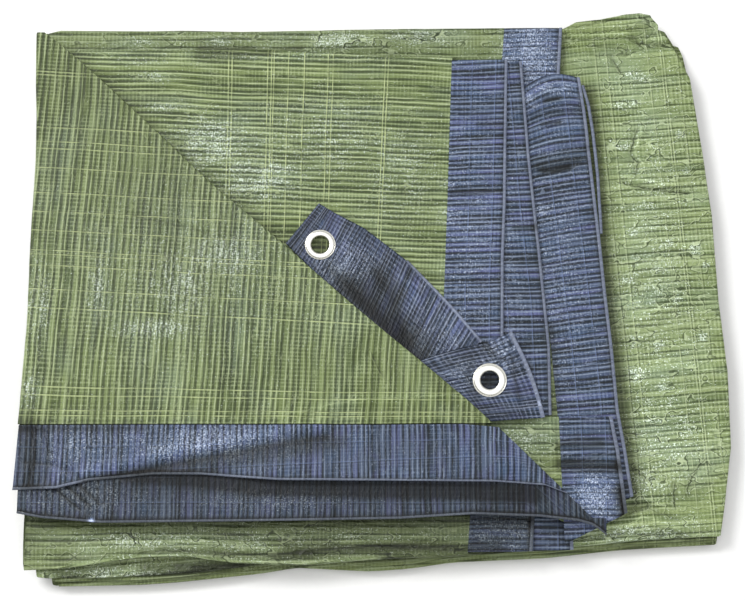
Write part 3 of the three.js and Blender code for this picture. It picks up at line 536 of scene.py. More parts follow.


# %% [markdown]
# Painted light and shade
#
# The lamps alone don't give the shade in the troughs, gaps and corners of the pile, nor its paler
# ridges and lighter places. So each ply has a painted shading, and short routes and spots paint shade
# and light onto it. Zero leaves the colour as it is, and minus is darker. So each ply has a tone, and short
# routes and spots
# make places lighter or darker. Zero leaves the colour as it is, and minus is darker.

# %% Painted shading of a ply
# Painted shading of whole plies: shade on those deep in the pile and under the flap, light on the open stack
PLY_PAINTED_SHADING = {
    "stack_10": 0.34,
    "middle": 0.0,
    "first": 0.02,
    "flap_top": -0.08,
    "second": -0.05,
    "third": -0.03,
    "flap_under": -0.54,
    "lower": -0.50,
    "tab_upper": -0.10,
    "tab_lower": 0.05,
    "stack_1": -0.60,
    "stack_2": -0.60,
    "stack_3": -0.40,
    "stack_4": -0.40,
    "stack_5": -0.15,
    "stack_6": -0.15,
    "stack_8": -0.20,
}
# Painted shadows and shade along folds, hems, creases, gaps and eyelet holes are minus; painted light and
# small highlights are plus
PAINTED_SHADING_ROUTES = [
    # ply, points, reach, tone
    ("stack_10", ((150, 147), (158, 20), (172, -131)), 7, -0.9),
    ("stack_10", ((130, 188), (131, 150)), 6, -0.6),
    ("stack_10", ((-203, -183), (-162, -177)), 6, -0.65),
    ("stack_10", ((-148, -178), (-112, -178), (-70, -177), (5, -175), (90, -171)), 7, -1.0),
    ("stack_10", ((-128, -176), (-84, -176)), 3, -0.3),
    ("stack_10", ((172, -158), (190, -152), (208, -158)), 2.4, -0.35),
    ("stack_10", ((164, -138), (184, -134)), 2.4, -0.3),
    ("stack_10", ((-200, -188), (-110, -184), (-40, -178)), 3, -0.25),
    ("stack_10", ((185, -50), (200, -140)), 40, 0.08),
    ("middle", ((-190, -160), (-116, -161)), 12, 0.18),
    ("middle", ((-56, -168), (0, -166), (50, -165), (80, -166)), 8, -0.4),
    ("middle", ((-205, -178), (-164, -171), (-128, -170), (-94, -173), (-40, -174), (0, -171)), 1.6, 0.4),
    ("middle", ((-205, -174), (-164, -167), (-128, -166), (-94, -169), (-40, -170)), 2.0, -0.25),
    ("middle", ((-217, -150), (-214, -172)), 12, 0.12),
    ("first", ((-120, 172), (-71, 172)), 3, -0.5),
    ("middle", ((-120, 179), (-92, 178), (-71, 177), (-50, 179)), 2.5, -0.6),
    ("middle", ((-228, 186), (30, 186)), 16, -0.14),
    ("flap_top", ((-205, 150), (-150, 80)), 60, -0.17),
    ("flap_top", ((-170, 30), (-90, 10)), 50, -0.06),
    ("middle", ((98, 178), (124, 176)), 22, 0.08),
    ("middle", ((70, -156), (112, -156)), 14, -0.12),
    ("middle", ((-228, -152), (60, -150), (104, -152)), 22, -0.38),
    ("middle", ((-228, -146), (60, -144), (104, -146)), 6, -0.3),
    ("first", ((-206, 171), (-115, 86), (35, -55), (104, -107)), 6, -0.30),
    ("first", ((20, 16), (34, -4), (56, -30)), 7, -0.35),
    # Painted shade in the eyelet holes
    ("first", ((-35, 36),), 8, -0.80),
    ("first", ((77, -56),), 9, -0.9),
    ("flap_top", ((-187, -124), (-145, -115), (-122, -111), (-90, -105), (-59, -99), (-30, -94)), 2.6, -0.3),
    ("flap_top", ((-150, -120), (-122, -116), (-90, -110), (-60, -104), (-20, -97)), 5, -0.42),
    ("flap_top", ((-200, -104), (-100, -106), (60, -106)), 16, -0.06),
    ("flap_top", ((-226, -90), (-222, -124)), 12, -0.5),
    ("flap_top", ((-140, -96), (-80, -88)), 6, 0.08),
    ("flap_top", ((-231, -88), (-150, -88)), 3, -0.4),
    ("flap_top", ((-105, 96), (-95, 80), (-80, 64)), 5, -0.3),
    ("flap_top", ((40, -50), (62, -75)), 10, -0.12),
    ("flap_under", ((-74, -126), (0, -128), (60, -129), (104, -131)), 5, -0.75),
    ("second", ((122, -110), (160, -112)), 4.5, -0.8),
    ("second", ((122, -98), (150, -97)), 3.0, -0.65),
    ("second", ((146, -130),), 18, 0.25),
    ("second", ((160, -126), (164, -144)), 4.0, -0.75),
    ("second", ((90, -90), (114, -110)), 14, 0.1),
    ("second", ((117.5, -84), (118.5, -128)), 1.2, 0.35),
    ("second", ((64, -84), (116, -83)), 1.2, 0.35),
    # A small painted highlight on the hem
    ("flap_under", ((-181.5, -147.6),), 1.5, 4.0),
    ("flap_under", ((-160, -117), (-120, -120), (-78, -125)), 6, -0.6),
    ("flap_under", ((-218, -130), (-170, -136)), 14, -0.1),
    ("flap_under", ((-220, -136), (-120, -142), (60, -142)), 9, 0.12),
    # A small painted highlight on the tab
    ("tab_lower", ((109.5, -70.4),), 0.8, 3.0),
    ("flap_top", ((-217.5, -63.2),), 2.2, 0.6),
    ("third", ((112, 92), (140, 97)), 4, -0.5),
    ("third", ((119, -20), (121, -79)), 3, -0.4),
    ("third", ((116, 90), (124, 90), (134, 92)), 1.7, -0.7),
    ("third", ((119, 140), (128, 141.5)), 1.5, -0.6),
    ("third", ((117, 123), (128, 124.5)), 1.5, -0.5),
    ("first", ((53, 74), (86, 75)), 1.7, -0.5),
    ("first", ((72, 122), (88, 122)), 1.7, -0.5),
    ("second", ((96, 50), (112, 50)), 2.2, -0.5),
    ("tab_upper", ((-14, 8), (8, -14), (30, -34)), 12, -0.5),
    ("tab_upper", ((4, 16), (18, 2)), 6, -0.3),
    ("tab_upper", ((-28, 20), (24, -38), (48, -60)), 5, -0.35),
    ("tab_upper", ((-24, 42), (-14, 24)), 12, 0.26),
    ("tab_upper", ((36, 0), (58, -22)), 13, 0.55),
    ("tab_upper", ((60, -40),), 12, 0.2),
    ("tab_upper", ((18, 14), (30, 8)), 1.4, 0.6),
    ("tab_lower", ((84, -34), (104, -76)), 14, 0.28),
    ("tab_lower", ((64, -40), (66, -72)), 5, -0.2),
    ("tab_lower", ((92, -40), (96, -70)), 2, -0.5),
    ("tab_lower", ((74, -34), (80, -40)), 3, -0.6),
    ("lower", ((100, -148), (124, -168)), 16, 0.4),
    ("lower", ((130.5, -140), (131, -166)), 1.6, 0.5),
    ("stack_4", ((210, 188), (223, 158)), 12, 0.65),
    ("stack_5", ((210, 188), (223, 158)), 12, 0.35),
    ("stack_6", ((200, 196), (212, 182)), 8, 0.45),
]
DARKEST = -0.88
# What a millimetre of crease adds to the painted shading, shade in troughs and light on ridges, over a share
# of the crease's width
CREASE_PAINTED_SHADE = 0.26
CREASE_PAINTED_SHADE_WIDTH = 0.75
print("places lighter or darker:", len(PAINTED_SHADING_ROUTES))


def painted_shading_of(ply, x, y):
    """How much painted light and shade a point of a ply gets. Troughs get painted shade."""
    total = PLY_PAINTED_SHADING.get(ply, 0.0) + CREASE_PAINTED_SHADE * creases(ply, x, y, CREASE_PAINTED_SHADE_WIDTH)
    for on, route, reach, tone in PAINTED_SHADING_ROUTES:
        if on == ply:
            total = total + tone * np.exp(-((beside_route(x, y, route) / reach) ** 2))
    return np.maximum(total, DARKEST)


# %% Painted lines along the creases
# Only creases up to this width have a crisp painted line
CREASE_NARROW = 2.4
# The line is full where the crease is this deep, and is gone well past this distance from it
CREASE_FULL = 1.6
CREASE_NEAR = 3.0
NOWHERE_NEAR = 9.0


def crease_line(ply, x, y):
    """How far each point lies to the left of its nearest crease, in millimetres, and how deep that
    crease is there. A thin painted line of shade and highlight can be drawn from the two, finer than the
    points of the mesh."""
    nearest = np.full(np.shape(x), NOWHERE_NEAR)
    side = np.full(np.shape(x), NOWHERE_NEAR)
    depth = np.zeros(np.shape(x))
    for on, route, width, rise in CREASES:
        if on != ply or width > CREASE_NARROW:
            continue
        for start, end in zip(route[:-1], route[1:]):
            away = beside(x, y, *start, *end)
            left = (end[0] - start[0]) * (y - start[1]) > (end[1] - start[1]) * (x - start[0])
            closer = away < nearest
            side = np.where(closer, np.where(left, away, -away), side)
            depth = np.where(closer, -rise / CREASE_FULL, depth)
            nearest = np.where(closer, away, nearest)
    return side, np.clip(depth, -1, 1) * np.exp(-((nearest / CREASE_NEAR) ** 2))


def looks(ply, x, y):
    """What the material of a ply is told at each point."""
    side, depth = crease_line(ply, x, y)
    return {
        "shine": strongest(SHINE, ply, x, y),
        "tone": painted_shading_of(ply, x, y),
        "fade": strongest(FADES, ply, x, y),
        "side": side,
        "depth": depth,
    }


# %% [markdown]
# From plies to one sheet
#
# Each ply is a grid of points between its four edges. Where two plies are joined, a half round of
# short steps bulges out from one edge to the other. A cut edge gets a narrow lip, so that the sheet
# doesn't vanish when it is seen edge on. Then all the grids are welded into one mesh. A map carries
# each point's place in the weave, in millimetres, and it turns with the cloth at the flap. Named
# values on the points tell the material where glints and sheen are painted, where the bands fade, how
# much light and shade are painted, and where the cloth is creased.

# %% Grids of points
LOOKS = ("shine", "tone", "fade", "side", "depth")
# Side edges bend with y and the others with x, so each point is found in a few passes
PASSES = 4


def ruler(*stretches):
    """Places along an edge, from stretches of (from, to, step)."""
    parts = [np.linspace(a, b, max(2, round(abs(b - a) / step) + 1)) for a, b, step in stretches]
    return np.unique(np.concatenate(parts).round(4))


def grid(ply, edges, columns, rows, weave):
    """A ply between its left, right, front and back edges. Columns and rows are places in
    millimetres along its nominal width and depth, and weave turns x and y into places of the weave."""
    left, right, front, back = edges
    u, v = np.meshgrid(
        (columns - columns[0]) / (columns[-1] - columns[0]),
        (rows - rows[0]) / (rows[-1] - rows[0]),
    )
    y = rows[0] + v * (rows[-1] - rows[0])
    for _ in range(PASSES):
        x = left(y) + u * (right(y) - left(y))
        y = front(x) + v * (back(x) - front(x))
    return {
        "x": x,
        "y": y,
        "z": ply_height(ply, x, y) + relief(ply, x, y),
        "weave": np.stack(weave(x, y), axis=-1),
        **looks(ply, x, y),
        "material": 0,
    }


def part_of(patch, rows=slice(None), columns=slice(None)):
    """Some rows and columns of a patch."""
    return {
        key: value[rows, columns] if isinstance(value, np.ndarray) else value
        for key, value in patch.items()
    }


def line_of(patch, side):
    """One edge of a patch, as a patch of a single row."""
    if side in ("front", "back"):
        return part_of(patch, slice(0, 1) if side == "front" else slice(-1, None))
    column = part_of(patch, slice(None), slice(0, 1) if side == "left" else slice(-1, None))
    return {
        key: np.swapaxes(value, 0, 1) if isinstance(value, np.ndarray) else value
        for key, value in column.items()
    }


def fitted(line, count):
    """A line with as many points as are wanted."""
    old = np.linspace(0, 1, line["x"].shape[1])
    new = np.linspace(0, 1, count)
    return {key: np.interp(new, old, line[key][0])[None] for key in ("x", "y", "z")}


# %% Folds and lips
FOLD_STEPS = 5
LIP_DROP = 0.55
LIP_OUT = 0.15


def fold(lower, upper, outward, material=0, bulge=1):
    """The rounded fold from one line up to the next, bulging outward. It looks like the upper."""
    count = upper["x"].shape[1]
    if lower["x"].shape[1] != count:
        lower = fitted(lower, count)
    angle = np.linspace(0, math.pi, FOLD_STEPS + 1)[:, None]
    share = (1 - np.cos(angle)) / 2
    radius = (upper["z"] - lower["z"]) / 2
    patch = {"material": material}
    for key, out in (("x", outward[0]), ("y", outward[1]), ("z", 0)):
        start, end = lower[key], upper[key]
        patch[key] = start + (end - start) * share + out * bulge * radius * np.sin(angle)
    around = (math.pi - angle) * radius
    patch["weave"] = np.stack(
        [upper["weave"][..., 0] + 0 * around, upper["weave"][..., 1] + around], axis=-1
    )
    for key in LOOKS:
        patch[key] = upper[key] + np.zeros_like(angle)
    return patch


def lip(line, outward):
    """The narrow edge of a cut, turned down from a line."""
    patch = {"material": line["material"]}
    steps = np.array([[1.0], [0.0]])
    patch["x"] = line["x"] + outward[0] * LIP_OUT * steps
    patch["y"] = line["y"] + outward[1] * LIP_OUT * steps
    patch["z"] = line["z"] - LIP_DROP * steps
    patch["weave"] = np.repeat(line["weave"], 2, axis=0)
    for key in LOOKS:
        patch[key] = np.repeat(line[key], 2, axis=0)
    return patch


# %% Patches to one mesh
# Points nearer than this are one, in metres
WELD = 1e-5


def sheet_object(name, patches):
    """One welded mesh object from patches, with its weave map and its looks."""
    points, faces, weave, materials = [], [], [], []
    values = {key: [] for key in LOOKS}
    start = 0
    for patch in patches:
        rows, columns = patch["x"].shape
        points.append(metres(patch["x"], patch["y"], patch["z"]).reshape(-1, 3))
        for key, parts in values.items():
            parts.append(np.ravel(patch[key]))
        number = start + np.arange(rows * columns).reshape(rows, columns)
        quads = [number[:-1, :-1], number[:-1, 1:], number[1:, 1:], number[1:, :-1]]
        quads = np.stack(quads, axis=-1)
        keep = patch.get("keep")
        quads = quads.reshape(-1, 4) if keep is None else quads[keep]
        faces.append(quads)
        weave.append(patch["weave"].reshape(-1, 2)[quads.ravel() - start])
        materials.append(np.full(len(quads), patch["material"]))
        start += rows * columns
    mesh = bpy.data.meshes.new(name)
    faces = np.concatenate(faces)
    mesh.from_pydata(np.concatenate(points).tolist(), [], faces.tolist())
    layer = mesh.uv_layers.new(name="weave")
    layer.data.foreach_set("uv", np.concatenate(weave).ravel())
    for key, parts in values.items():
        attribute = mesh.attributes.new(key, "FLOAT", "POINT")
        attribute.data.foreach_set("value", np.concatenate(parts))
    mesh.polygons.foreach_set("material_index", np.concatenate(materials).astype(np.int32))
    made = bpy.data.objects.new(name, mesh)
    bpy.context.scene.collection.objects.link(made)
    weld_points(mesh)
    mesh.polygons.foreach_set("use_smooth", np.ones(len(mesh.polygons), bool))
    mesh.update()
    triangles = sum(len(face.vertices) - 2 for face in mesh.polygons)
    print(name, len(mesh.vertices), "points", triangles, "triangles")
    return made


def weld_points(mesh):
    """Joins points that coincide, and turns all the faces of the sheet alike."""
    shape = bmesh.new()
    shape.from_mesh(mesh)
    bmesh.ops.remove_doubles(shape, verts=shape.verts, dist=WELD)
    bmesh.ops.recalc_face_normals(shape, faces=shape.faces)
    shape.to_mesh(mesh)
    shape.free()


# %% [markdown]
# Laying the olive cloth
#
# The ten plies of the stack lie nearly alike. Those above them end one by one towards the right, and
# the top corner is turned down over its diagonal. Each ply says which way its threads run, because
# no ply lies quite square. Plies that show get fine grids, and hidden ones coarse grids.

# %% Run of the threads
# Slopes are millimetres sideways for each millimetre along
STACK_TURN = math.radians(4)
FIRST_THREADS_Y = 160
FIRST_SLOPE = 0.035
FIRST_LEAN = 0.042
FIRST_LEAN_GROWS = 0.00042
FIRST_LEAN_MOST = 0.06
FLAP_THREADS_X = -100
FLAP_LEAN = 0.06
FLAP_FALL = 0.055
# So far behind its seam the flap's bands have their full fall
FLAP_FALL_FULL = 60


def level_weave(x, y):
    """Threads that run level and upright."""
    return x, y


def stack_weave(x, y):
    """The stack's cloth lies turned a little to the left."""
    cos, sin = math.cos(STACK_TURN), math.sin(STACK_TURN)
    return x * cos + y * sin, y * cos - x * sin


def first_weave(x, y):
    """The upper ply's threads lean more the farther right they stand, and its tapes fall a little."""
    lean = np.clip(FIRST_LEAN + FIRST_LEAN_GROWS * x, 0, FIRST_LEAN_MOST)
    return x - lean * (y - FIRST_THREADS_Y), y + FIRST_SLOPE * x


def flap_weave(x, y):
    """Folded over a diagonal, the weave lies a quarter turn round. It falls less near its border."""
    share = np.clip((y - FLAP_SEAM_Y) / FLAP_FALL_FULL, 0, 1)
    fall = FLAP_FALL * (x - FLAP_THREADS_X) * share
    return y - FLAP_SEAM_Y + fall, x - FLAP_LEAN * y


# %% Lay the plies
# Steps between the points of a grid
FINEST = 1.6
FINE = 2.5
COARSE = 12
# The flap narrows to a point, so its columns are spread over a nominal width
FLAP_WIDTH = 330


def stack_ply(number):
    """One ply of the stack; only the right-hand part of the top one shows."""
    right_rows, back_rows = CORNER_STEPS[min(last for last in CORNER_STEPS if last >= number)]
    right = [row for row in STACK_RIGHT if row[0] < right_rows[0][0]] + right_rows
    back = [row for row in STACK_BACK if row[0] < back_rows[0][0]] + back_rows
    edges = (
        edge(STACK_LEFT, STACK_LEFT_INSETS[number - 1]),
        edge(right, -STACK_RIGHT_INSETS[number - 1]),
        edge(STACK_FRONT, FRONT_FOLD_INSETS[(number - 1) // 2]),
        edge(back, -BACK_FOLD_INSETS[number // 2]),
    )
    if number < STACK_PLIES:
        rows = ruler((-180, 140, 20), (140, 195, 4))
        return grid(f"stack_{number}", edges, ruler((-228, 230, 8)), rows, stack_weave)
    columns = ruler((-230, 128, 4), (128, 232, FINEST))
    return grid("stack_10", edges, columns, ruler((-172, 198, FINEST)), stack_weave)


stack = [stack_ply(number + 1) for number in range(STACK_PLIES)]
lower = grid(
    "lower",
    (level(UPPER_LEFT), edge(LOWER_SEAM), edge(MIDDLE_FRONT), edge(STACK_BACK)),
    ruler((-226, 91, 8)),
    ruler((-175, 193, COARSE)),
    level_weave,
)
middle = grid(
    "middle",
    (level(UPPER_LEFT), edge(MIDDLE_SEAM), edge(MIDDLE_FRONT), edge(MIDDLE_BACK)),
    ruler((-226, 80, 3)),
    ruler((-172, -138, FINE), (-138, 162, COARSE), (162, 192, FINE)),
    level_weave,
)
third = grid(
    "third",
    (level(UPPER_LEFT), edge(THIRD_SEAM), edge(HIDDEN_FRONT), level(THIRD_BACK)),
    ruler((-226, 90, COARSE), (90, 118, FINE)),
    ruler((HIDDEN_FRONT_Y, THIRD_BACK, 5)),
    level_weave,
)
second = grid(
    "second",
    (level(SECOND_LEFT), edge(SECOND_SEAM), edge(HIDDEN_FRONT), edge(UPPER_BACK)),
    ruler((SECOND_LEFT, 72, COARSE)),
    ruler((HIDDEN_FRONT_Y, TURN_LINE, FINE), (TURN_LINE, 172, COARSE)),
    level_weave,
)
turned = grid(
    "second",
    (edge(SECOND_SEAM), edge(TURNED_SEAM), edge(HIDDEN_FRONT), level(TURN_LINE)),
    ruler((72, 125, FINE)),
    ruler((HIDDEN_FRONT_Y, TURN_LINE, FINE)),
    level_weave,
)
first = grid(
    "first",
    (edge(FLAP_LEFT, FIRST_LEFT_INSET), edge(FIRST_SEAM), level(FLAP_SEAM_Y), edge(UPPER_BACK)),
    ruler((-228, 50, FINE)),
    ruler((FLAP_SEAM_Y, 173, FINE)),
    first_weave,
)
inner = grid(
    "inner",
    (edge(FLAP_LEFT, FIRST_LEFT_INSET), edge(DIAGONAL), level(FLAP_SEAM_Y), level(FLAP_TOP_Y)),
    ruler((0, FLAP_WIDTH, COARSE)),
    ruler((FLAP_SEAM_Y, FLAP_TOP_Y, COARSE)),
    first_weave,
)
flap_top = grid(
    "flap_top",
    (edge(FLAP_LEFT), edge(DIAGONAL), level(FLAP_SEAM_Y), level(FLAP_TOP_Y)),
    ruler((0, FLAP_WIDTH, 3)),
    ruler((FLAP_SEAM_Y, FLAP_TOP_Y, FINE)),
    flap_weave,
)
under_back = FLAP_TOP_Y - FOLD_ROOM
flap_under = grid(
    "flap_under",
    (edge(FLAP_LEFT), edge(DIAGONAL, -FOLD_ROOM), level(FLAP_UNDER_SEAM_Y), level(under_back)),
    ruler((0, FLAP_WIDTH, COARSE)),
    ruler((FLAP_UNDER_SEAM_Y, FLAP_SEAM_Y, 7), (FLAP_SEAM_Y, under_back, COARSE)),
    flap_weave,
)
# The stack and the plies next to it take the first finish, which is number 0
first["material"] = inner["material"] = second["material"] = 1
flap_top["material"] = flap_under["material"] = 2

# %% Join the plies
FRONTWARD = (0, -1)
BACKWARD = (0, 1)
LEFTWARD = (-1, 0)
RIGHTWARD = (1, 0)
DIAGONAL_RUN = (0.68, 0.73)
DIAGONAL_OUT = tuple(run / math.hypot(*DIAGONAL_RUN) for run in DIAGONAL_RUN)
# The diagonal fold has been pressed flat, so it bulges less than the others
PRESSED = 0.3
# The foot of the flap's lower ply stays open, over this many rows of its grid
UNDER_FRONT_ROWS = 3


def joined(left, right):
    """Two lines end to end as one."""
    return {
        key: np.concatenate([value, right[key][:, 1:]], axis=1) if isinstance(value, np.ndarray) else value
        for key, value in left.items()
    }


folds = []
for i in range(STACK_PLIES - 1):
    side, outward = ("front", FRONTWARD) if i % 2 == 0 else ("back", BACKWARD)
    folds.append(fold(line_of(stack[i], side), line_of(stack[i + 1], side), outward))
shared = int(np.sum(stack[-1]["x"][-1] < lower["x"][-1, -1]))
stack_back = part_of(line_of(stack[-1], "back"), columns=slice(0, shared))
folds.append(fold(stack_back, line_of(lower, "back"), BACKWARD))
folds.append(fold(line_of(lower, "front"), line_of(middle, "front"), FRONTWARD))
folds.append(fold(line_of(middle, "left"), line_of(third, "left"), LEFTWARD))
second_front = joined(line_of(second, "front"), line_of(turned, "front"))
folds.append(fold(line_of(third, "front"), second_front, FRONTWARD))
folds.append(fold(line_of(second, "back"), line_of(first, "back"), BACKWARD, 1))
folds.append(fold(line_of(first, "left"), line_of(inner, "left"), LEFTWARD, 1))
folds.append(fold(line_of(inner, "right"), line_of(flap_top, "right"), DIAGONAL_OUT, 2, PRESSED))
under_left = line_of(part_of(flap_under, slice(UNDER_FRONT_ROWS, None)), "left")
folds.append(fold(under_left, line_of(flap_top, "left"), LEFTWARD, 2))
lips = [lip(line_of(ply, "left"), LEFTWARD) for ply in [*stack, lower, second]]
lips += [lip(line_of(ply, "right"), RIGHTWARD) for ply in stack]
lips += [lip(line_of(third, "back"), BACKWARD), lip(line_of(turned, "back"), BACKWARD)]
plies = [*stack, lower, middle, third, second, turned, first, inner, flap_top, flap_under]
cloth = sheet_object("olive_cloth", [*plies, *folds, *lips])

# %% [markdown]
# The border strips
#
# Blue tape 40 mm wide is welded along the cut edges, and its outer edge is turned round a thin cord as
# a hem. A strip is a row of like cross-sections: flat from the seam to the hem, then once round the
# cord. Its tapes run across it, so its own length gives the weave, whichever way it lies.

# %% Border strips
STRIP_STEP = 1.4
SEAM_OVERLAP = 0.3
STRIP_RISE = 0.22
HEM_TALL = 1.8
HEM_RISE = 0.1
HEM_SIDES = 12
# The hem's section starts and ends at these angles, down on the flat of the strip
HEM_FROM = 158
HEM_TO = -165
HEM_DULLING = 0.8
# Painted shade in the groove where the flat of a strip meets its hem
GROOVE_PAINTED_SHADE = -0.45
GROOVE_WIDE = 1.6
# So far apart in the weave that no two strips look alike
STRIP_APART = 137
SECOND_BAR = [
    (144.7, 151), (148.3, 137), (150.7, 119), (152.2, 102), (153.4, 86), (154.0, 68), (154.4, 57),
    (154.6, 46),
]
SECOND_BAR_WIDTH = 2.2
SECOND_BAR_DROP = 0.9
SECOND_BAR_POINTS = 60
# The back end of one strip bulges in the middle, and only near that end
ARCHES = {"third": 6.5}
ARCH_POWER = 8
STRIPS = [
    # name, ply, runs along, seam, its ends, hem, its ends, hem width, rise of the bands at its ends
    ("lower", "lower", "y", LOWER_SEAM, (-166.5, 192), LOWER_HEM, (-165.5, 192), 2.4, (0, 0)),
    ("middle", "middle", "y", MIDDLE_SEAM, (-167, 193.5), MIDDLE_HEM, (-166.5, 193.5), 2.4, (0, 0)),
    ("third", "third", "y", THIRD_SEAM, (-146.5, 148), THIRD_HEM, (-131, 156), 2.4, (0.06, 0.2)),
    ("turned", "second", "y", TURNED_SEAM, (-162, TURN_LINE), TURNED_HEM, (-142, TURN_LINE), 2.6, (0, 0)),
    ("second", "second", "y", SECOND_SEAM, (-78, 167), SECOND_HEM, (-78, 167), 2.1, (0.02, 0.04)),
    ("first", "first", "y", FIRST_SEAM, (-75, 168), FIRST_HEM, (-75, 168), 2.1, (0.02, 0.04)),
    ("flap_under", "flap_under", "x", FLAP_UNDER_SEAM, (-230, 151), FLAP_UNDER_HEM, (-230, 151), 1.6, (0, 0)),
    ("flap_top", "flap_top", "x", FLAP_TOP_SEAM, (-231, 82), FLAP_TOP_HEM, (-233, 126.5), 1.8, (0.02, 0)),
]


def hem_patch(ply, route, width):
    """A hem round a cord along a line, as an oval tube, with the look of a ply."""
    x, y, z = (route[key][0] for key in ("x", "y", "z"))
    turn_x, turn_y = np.gradient(y), -np.gradient(x)
    size = np.hypot(turn_x, turn_y)
    angle = np.linspace(0, 2 * math.pi, HEM_SIDES + 1)[:, None]
    out = width / 2 * np.cos(angle)
    hem_x = x + turn_x / size * out
    hem_y = y + turn_y / size * out
    patch = {
        "x": hem_x,
        "y": hem_y,
        "z": z + HEM_TALL / 2 * np.sin(angle),
        "weave": np.stack([out + 0 * x, np.cumsum(size) + 0 * out], axis=-1),
        **looks(ply, hem_x, hem_y),
        "material": 1,
    }
    patch["shine"] = 0 * patch["shine"]
    return patch


def edge_points(table, runs, ends, t):
    """Points of the plan along a strip's edge, as columns x and y."""
    at = ends[0] + (ends[1] - ends[0]) * t
    other = along(table, at)
    return np.stack([other, at] if runs == "y" else [at, other], axis=-1)


def strip_object(number, name, ply, runs, seam, seam_ends, hem, hem_ends, hem_width, rises):
    """A border strip with its hem turned round a cord."""
    length = abs(hem_ends[1] - hem_ends[0])
    t = np.linspace(0, 1, round(length / STRIP_STEP) + 1)
    start = edge_points(seam, runs, seam_ends, t)
    end = edge_points(hem, runs, hem_ends, t)
    width = np.linalg.norm(end - start, axis=1)[:, None]
    across = (end - start) / width
    steps = round(float(width.mean()) / STRIP_STEP)
    share = np.linspace(0, 1, steps + 1)
    flat = -SEAM_OVERLAP + share * (width - hem_width + SEAM_OVERLAP)
    angle = np.radians(np.linspace(HEM_FROM, HEM_TO, HEM_SIDES + 1))
    bead = width - hem_width / 2 + hem_width / 2 * np.cos(angle)
    parts = [(flat, STRIP_RISE + 0 * share, 0), (bead, HEM_RISE + HEM_TALL / 2 * np.sin(angle), 1)]
    patches = []
    for reach, rise, material in parts:
        x = start[:, :1] + across[:, :1] * reach
        y = start[:, 1:] + across[:, 1:] * reach
        bands = rises[0] + (rises[1] - rises[0]) * t[:, None]
        place = (y - bands * reach if runs == "y" else x - bands * y) + STRIP_APART * number
        arch = ARCHES.get(name, 0) * np.sin(math.pi * np.clip(reach / width, 0, 1))
        y = y + arch * t[:, None] ** ARCH_POWER
        groove = np.exp(-((np.abs(reach - width + hem_width) / GROOVE_WIDE) ** 2)) * (1 - material)
        patch = {
            "x": x,
            "y": y,
            "z": ply_height(ply, x, y) + relief(ply, x, y) + rise,
            "weave": np.stack([reach, place], axis=-1),
            **looks(ply, x, y),
            "material": material,
        }
        patch["shine"] = patch["shine"] * (1 - HEM_DULLING * material)
        # Painted shade along the groove beside the hem
        patch["tone"] = patch["tone"] + GROOVE_PAINTED_SHADE * groove
        patches.append(patch)
    flat_part = patches[0]
    away = (FRONTWARD, BACKWARD) if runs == "y" else (LEFTWARD, RIGHTWARD)
    ends = (part_of(flat_part, slice(0, 1)), part_of(flat_part, slice(-1, None)))
    lips = [lip(line, out) for line, out in zip(ends, away)]
    bars = second_hem() if name == "third" else []
    return sheet_object(f"blue_strip_{name}", [*patches, *lips, *bars])


def second_hem():
    """The hem of the doubled border, which stands out below the hem of the third ply."""
    x, y = (column[None] for column in np.array(SECOND_BAR, float).T)
    line = {"x": x, "y": y, "z": ply_height("third", x, y) - SECOND_BAR_DROP}
    return [hem_patch("third", fitted(line, SECOND_BAR_POINTS), SECOND_BAR_WIDTH)]


strips = {row[0]: strip_object(i, *row) for i, row in enumerate(STRIPS)}

# %% [markdown]
# The corner tabs
#
# At two corners the doubled ends of the border carry an eyelet each. They are stiffer than the cloth,
# so they stand off it a little. Each is a grid between a far and a near edge, with a hole for the
# eyelet and a hem along one side.

# %% Corner tabs
TAB_CLEAR = 2.3
TAB_DROP = 3.6
TAB_DROP_FROM = 89
TAB_DROP_TO = 112
TAB_STEP = 1.8
TAB_HOLE = 6.9
TAB_WAVE_LENGTH = 30
TAB_WAVE_RISE = 0.5
TAB_CRUMPLE_LENGTH = 13
TAB_CRUMPLE = 0.35
TAB_SEEDS = {"upper": 50, "lower": 60}
# The tab is flat up to 0.6 of this radius round its eyelet, and fully crumpled at 1.6 of it
TAB_FLAT_ROUND = 16
TAB_FLAT_FROM = 0.6
TABS = {
    # The bands of the upper tab run across it, and those of the lower tab along it
    "upper": {
        "edges": [
            (-36, 65, -58, 37), (-25, 58, -44, 23), (-6, 48, -28, 6), (22, 26, 2, -23),
            (52, -6, 30, -48), (72, -30, 48, -62),
        ],
        "bow": 0,
        "turn": 1,
        "hem": ("far", 3),
        "hem_width": 1.9,
    },
    "lower": {
        "edges": [
            (28, -44, 66, -82), (46, -38, 76, -83), (60, -34, 88, -82), (76, -31, 100, -81),
            (91, -24, 112, -80),
        ],
        "bow": 2.5,
        "turn": -1,
        "hem": ("right", 0),
        "hem_width": 2.8,
    },
}


def tab_height(name, x, y):
    """Height of the middle of a tab, as in its solid."""
    if name == "upper":
        return ply_height("first", x, y) + TAB_CLEAR
    t = np.clip((x - TAB_DROP_FROM) / (TAB_DROP_TO - TAB_DROP_FROM), 0, 1)
    return ply_height("first", x, y) + 2 * TAB_CLEAR - TAB_DROP * t * t * (3 - 2 * t)


def tab_relief(name, x, y):
    """The crumple of a tab, flat where the eyelet clamps it."""
    seed = TAB_SEEDS[name]
    eye_x, eye_y = EYELETS[name]
    away = np.clip(np.hypot(x - eye_x, y - eye_y) / TAB_FLAT_ROUND - TAB_FLAT_FROM, 0, 1)
    wave = TAB_WAVE_RISE * ripple(x, y, TAB_WAVE_LENGTH, seed)
    ridged = 1 - RIDGE_FALL * np.abs(ripple(x, y, TAB_CRUMPLE_LENGTH, seed + 1))
    return away * (wave + TAB_CRUMPLE * ridged + creases(f"tab_{name}", x, y))


